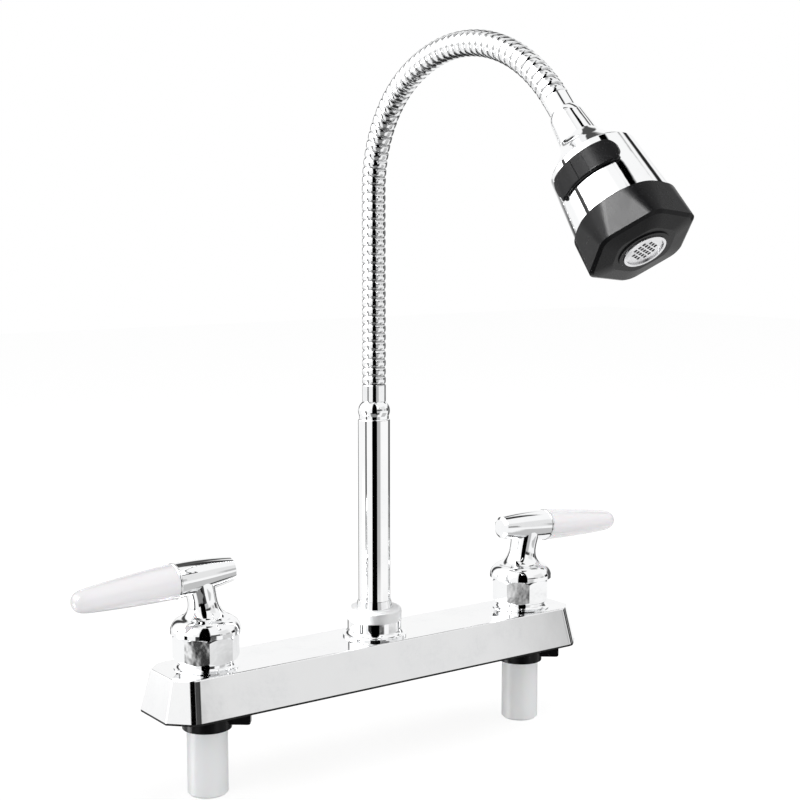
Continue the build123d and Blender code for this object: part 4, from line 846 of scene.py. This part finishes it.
@dataclass
class Studio:
    """White surroundings with cards that only mirrors see, soft lamps and a pale floor."""

    camera_turn: float = 35.8
    fill: float = 0.62
    floor_height: float = -0.0441
    floor_size: float = 6.0
    floor_colour: Colour = (0.9, 0.9, 0.9)
    floor_glow: float = 1.15
    glow_share: float = 0.72
    lamp_aim: tuple[float, float, float] = (0.0, 0.0, 0.15)
    lamps: tuple[Lamp, ...] = (
        Lamp("overhead_lamp", (0.1, -0.3, 1.5), 1.2, 6.0),
        Lamp("left_lamp", (-1.3, -0.5, 0.7), 0.9, 4.0),
        Lamp("right_lamp", (1.2, -0.8, 0.6), 0.9, 3.0),
    )
    # Each row: name, turn, half width, low, high, level, softness of the sides and of top and foot.
    cards: tuple[Card, ...] = (
        Card("camera_side", 4.0, 18.0, -24.0, 74.0, 0.0, 1.5),
        Card("camera_grey", 33.0, 13.0, -14.0, 4.0, 0.5, 6.0, 1.5),
        Card("camera_arm", 38.0, 16.0, 4.0, 17.0, 0.06, 3.0, 2.5),
        Card("camera_low", 28.0, 14.0, -30.0, -15.0, 0.06, 3.0, 1.0),
        Card("camera_floor", 2.0, 28.0, -75.0, -22.0, 0.25, 5.0, 4.0),
        Card("nut_mirror", -12.0, 14.4, -24.0, -14.8, 0.03, 0.6, 0.6),
        Card("top", 52.0, 41.0, 76.0, 99.0, 0.0, 3.0, 1.5),
        Card("below", 0.0, 200.0, -99.0, -60.0, 0.05, 1.0, 6.0),
        Card("right_back", 136.0, 17.0, -24.0, 16.0, 0.1, 5.0, 5.0),
        Card("right_side", 108.0, 9.0, -4.0, 12.0, 0.02, 3.0, 2.0),
        Card("right_slot", 137.0, 9.0, 29.0, 40.0, 0.02, 2.0, 2.0),
        Card("right_low", 101.0, 7.0, -56.0, -40.0, 0.05, 3.0, 3.0),
        Card("right_high", 148.0, 21.0, 49.0, 63.0, 0.04, 3.0, 2.5),
        Card("left_strip", -60.5, 5.8, -75.0, 1.0, 0.0, 1.2, 3.0),
        Card("left_back", -100.0, 3.5, 6.0, 17.0, 0.02, 1.0, 2.0),
        Card("left_far", -146.0, 8.0, -2.0, 42.0, 0.06, 3.0, 3.0),
        Card("left_high", -105.0, 11.0, 64.0, 86.0, 0.05),
        Card("back_top", -178.0, 14.0, 27.0, 60.0, 0.08, 3.0, 3.0),
        Card("right_panel", 84.0, 20.0, -75.0, -15.0, 0.55, 3.0, 1.5),
        Card("right_grey", 72.0, 20.0, -2.0, 34.0, 0.82, 10.0),
        Card("cover_left", 56.0, 6.2, 2.0, 14.0, 0.35, 1.2, 3.0),
        Card("cover_right", 84.0, 8.0, 0.0, 12.0, 0.6, 3.0, 3.0),
        Card("left_grey", -68.0, 12.0, 50.0, 78.0, 0.7, 8.0, 6.0),
        Card("left_edge", -165.0, 17.0, -75.0, -6.0, 0.03, 4.0, 3.0),
        Card("left_box", -42.0, 12.0, 30.0, 52.0, 20.0, 8.0, 6.0),
        Card("left_glow", -82.0, 36.0, 6.0, 56.0, 4.0, 14.0, 12.0),
        Card("left_low_box", -84.0, 11.0, -34.0, -14.0, 10.0, 5.0, 5.0),
    )

    def direction(self, board: Board) -> tuple[Socket, Socket]:
        """Find the turn and the height of a ray.

        Args:
            board: The world's board.

        Returns:
            Turn from the camera's side and height above the horizon, in degrees.
        """
        way = board.add("ShaderNodeTexCoord").outputs["Generated"]
        turn = math.radians(self.camera_turn)
        toward = (-math.sin(turn), -math.cos(turn), 0.0)
        right = (math.cos(turn), -math.sin(turn), 0.0)
        parts = []
        for axis in (toward, right, (0.0, 0.0, 1.0)):
            node = board.add("ShaderNodeVectorMath", {"operation": "DOT_PRODUCT"})
            board.feed(node.inputs[0], way)
            board.feed(node.inputs[1], axis)
            parts.append(node.outputs["Value"])
        angle = board.math("ARCTAN2", parts[1], parts[0])
        height = board.math("ARCSINE", parts[2])
        degree = math.degrees(1.0)
        return board.math("MULTIPLY", angle, degree), board.math("MULTIPLY", height, degree)

    def shade(self, board: Board, card: Card, turn: Socket, height: Socket) -> Socket:
        """Work out the factor that one card puts on the light from a direction.

        Args:
            board: The world's board.
            card: The card.
            turn: The direction's turn in degrees.
            height: The direction's height in degrees.

        Returns:
            The factor: 1 beside the card and its level on it.
        """
        wide, soft, rise = card.half_width, card.soft, card.soft_height
        away = board.math("WRAP", board.math("SUBTRACT", turn, card.turn), HALF_TURN, -HALF_TURN)
        away = board.math("ABSOLUTE", away)
        across = board.remap(away, old=(wide - soft, wide + soft), new=(1.0, 0.0))
        above = board.remap(height, old=(card.low - rise, card.low + rise), new=(0.0, 1.0))
        below = board.remap(height, old=(card.high - rise, card.high + rise), new=(1.0, 0.0))
        cover = board.math("MULTIPLY", across, board.math("MULTIPLY", above, below))
        log.info("card %s at %.0f degrees has level %.2f", card.name, card.turn, card.level)
        return board.math("SUBTRACT", 1.0, board.math("MULTIPLY", cover, 1.0 - card.level))

    def surroundings(self) -> None:
        """Build the world: white to the camera, cards on white to mirrors, even fill to the rest."""
        world = bpy.data.worlds.new("studio")
        world.use_nodes = True
        bpy.context.scene.world = world
        board = Board(world.node_tree)
        turn, height = self.direction(board)
        seen = None
        for card in self.cards:
            shade = self.shade(board, card, turn, height)
            seen = shade if seen is None else board.math("MULTIPLY", seen, shade)
        rays = board.add("ShaderNodeLightPath")
        glossy, through = rays.outputs["Is Glossy Ray"], rays.outputs["Is Transmission Ray"]
        mirror = board.math("MAXIMUM", glossy, through)
        plain = board.tint(mirror, (self.fill,) * 3, seen)
        colour = board.tint(rays.outputs["Is Camera Ray"], plain, WHITE)
        background = board.add("ShaderNodeBackground", Color=colour, Strength=1.0)
        output = board.add("ShaderNodeOutputWorld")
        board.feed(output.inputs["Surface"], background.outputs[0])

    def floor(self) -> None:
        """Lay the floor, white to the camera apart from the faucet's own shadow."""
        data = bpy.data.meshes.new("floor")
        half = self.floor_size / 2
        corners = [(-half, -half, 0), (half, -half, 0), (half, half, 0), (-half, half, 0)]
        data.from_pydata(corners, [], [(0, 1, 2, 3)])
        floor = bpy.data.objects.new("floor", data)
        floor.location.z = self.floor_height
        floor.visible_glossy = False
        bpy.context.scene.collection.objects.link(floor)
        material = bpy.data.materials.new("floor_white")
        material.use_nodes = True
        board = Board(material.node_tree)
        matt = board.add("ShaderNodeBsdfDiffuse", Color=self.floor_colour)
        glow = board.add("ShaderNodeEmission", Color=WHITE, Strength=self.floor_glow)
        rays = board.add("ShaderNodeLightPath")
        share = board.math("MULTIPLY", rays.outputs["Is Camera Ray"], self.glow_share)
        mixed = board.add("ShaderNodeMixShader")
        board.feed(mixed.inputs[0], share)
        board.feed(mixed.inputs[1], matt.outputs[0])
        board.feed(mixed.inputs[2], glow.outputs[0])
        output = board.add("ShaderNodeOutputMaterial")
        board.feed(output.inputs["Surface"], mixed.outputs[0])
        data.materials.append(material)

    def hang(self, lamp: Lamp) -> None:
        """Hang one lamp that faces the faucet.

        Args:
            lamp: The lamp.
        """
        data = bpy.data.lights.new(lamp.name, "AREA")
        data.size = lamp.size
        data.energy = lamp.power
        made = bpy.data.objects.new(lamp.name, data)
        made.location = lamp.place
        aim = Vector(self.lamp_aim) - Vector(lamp.place)
        made.rotation_euler = aim.to_track_quat("-Z", "Y").to_euler()
        made.visible_glossy = False
        bpy.context.scene.collection.objects.link(made)

    def build(self) -> None:
        """Set up the surroundings, the floor and the lamps."""
        self.surroundings()
        self.floor()
        for lamp in self.lamps:
            self.hang(lamp)
        bpy.context.scene.view_settings.view_transform = "Standard"


@dataclass
class PhotoCamera:
    """Camera at the photograph's place and angle.

    Place and clip start are in metres, turn and drop in radians, lens and sensor in millimetres.
    """

    place: tuple[float, float, float] = (-0.455909, -0.655167, 0.241436)
    turn: float = -0.624912579
    drop: float = 0.118280751
    lens: float = 68.9877
    sensor: float = 36.0
    clip_start: float = 0.01

    def build(self) -> None:
        """Set up the camera."""
        data = bpy.data.cameras.new("photo_camera")
        data.lens = self.lens
        data.sensor_width = self.sensor
        data.clip_start = self.clip_start
        camera = bpy.data.objects.new("photo_camera", data)
        forward = Vector(
            (
                -math.sin(self.turn) * math.cos(self.drop),
                math.cos(self.turn) * math.cos(self.drop),
                -math.sin(self.drop),
            )
        )
        turned = forward.to_track_quat("-Z", "Y").to_matrix().to_4x4()
        camera.matrix_world = Matrix.Translation(self.place) @ turned
        bpy.context.scene.collection.objects.link(camera)
        bpy.context.scene.camera = camera


def write_sizes() -> None:
    bpy.context.view_layer.update()


def main() -> None:
    """Build and dress the faucet, then set up the studio."""
    logging.basicConfig(level=logging.INFO, format="%(name)s: %(message)s")
    PhotoCamera().build()
    paints = Paints()
    DeckBase(paints).build()
    for side in Side:
        Valve(side, paints).build()
        Handle(side, paints).build()
    Spout(paints).build()
    RibbedHose(paints).build()
    SprayHead(paints).build()
    Studio().build()
    write_sizes()


if __name__ == "__main__":
    main()
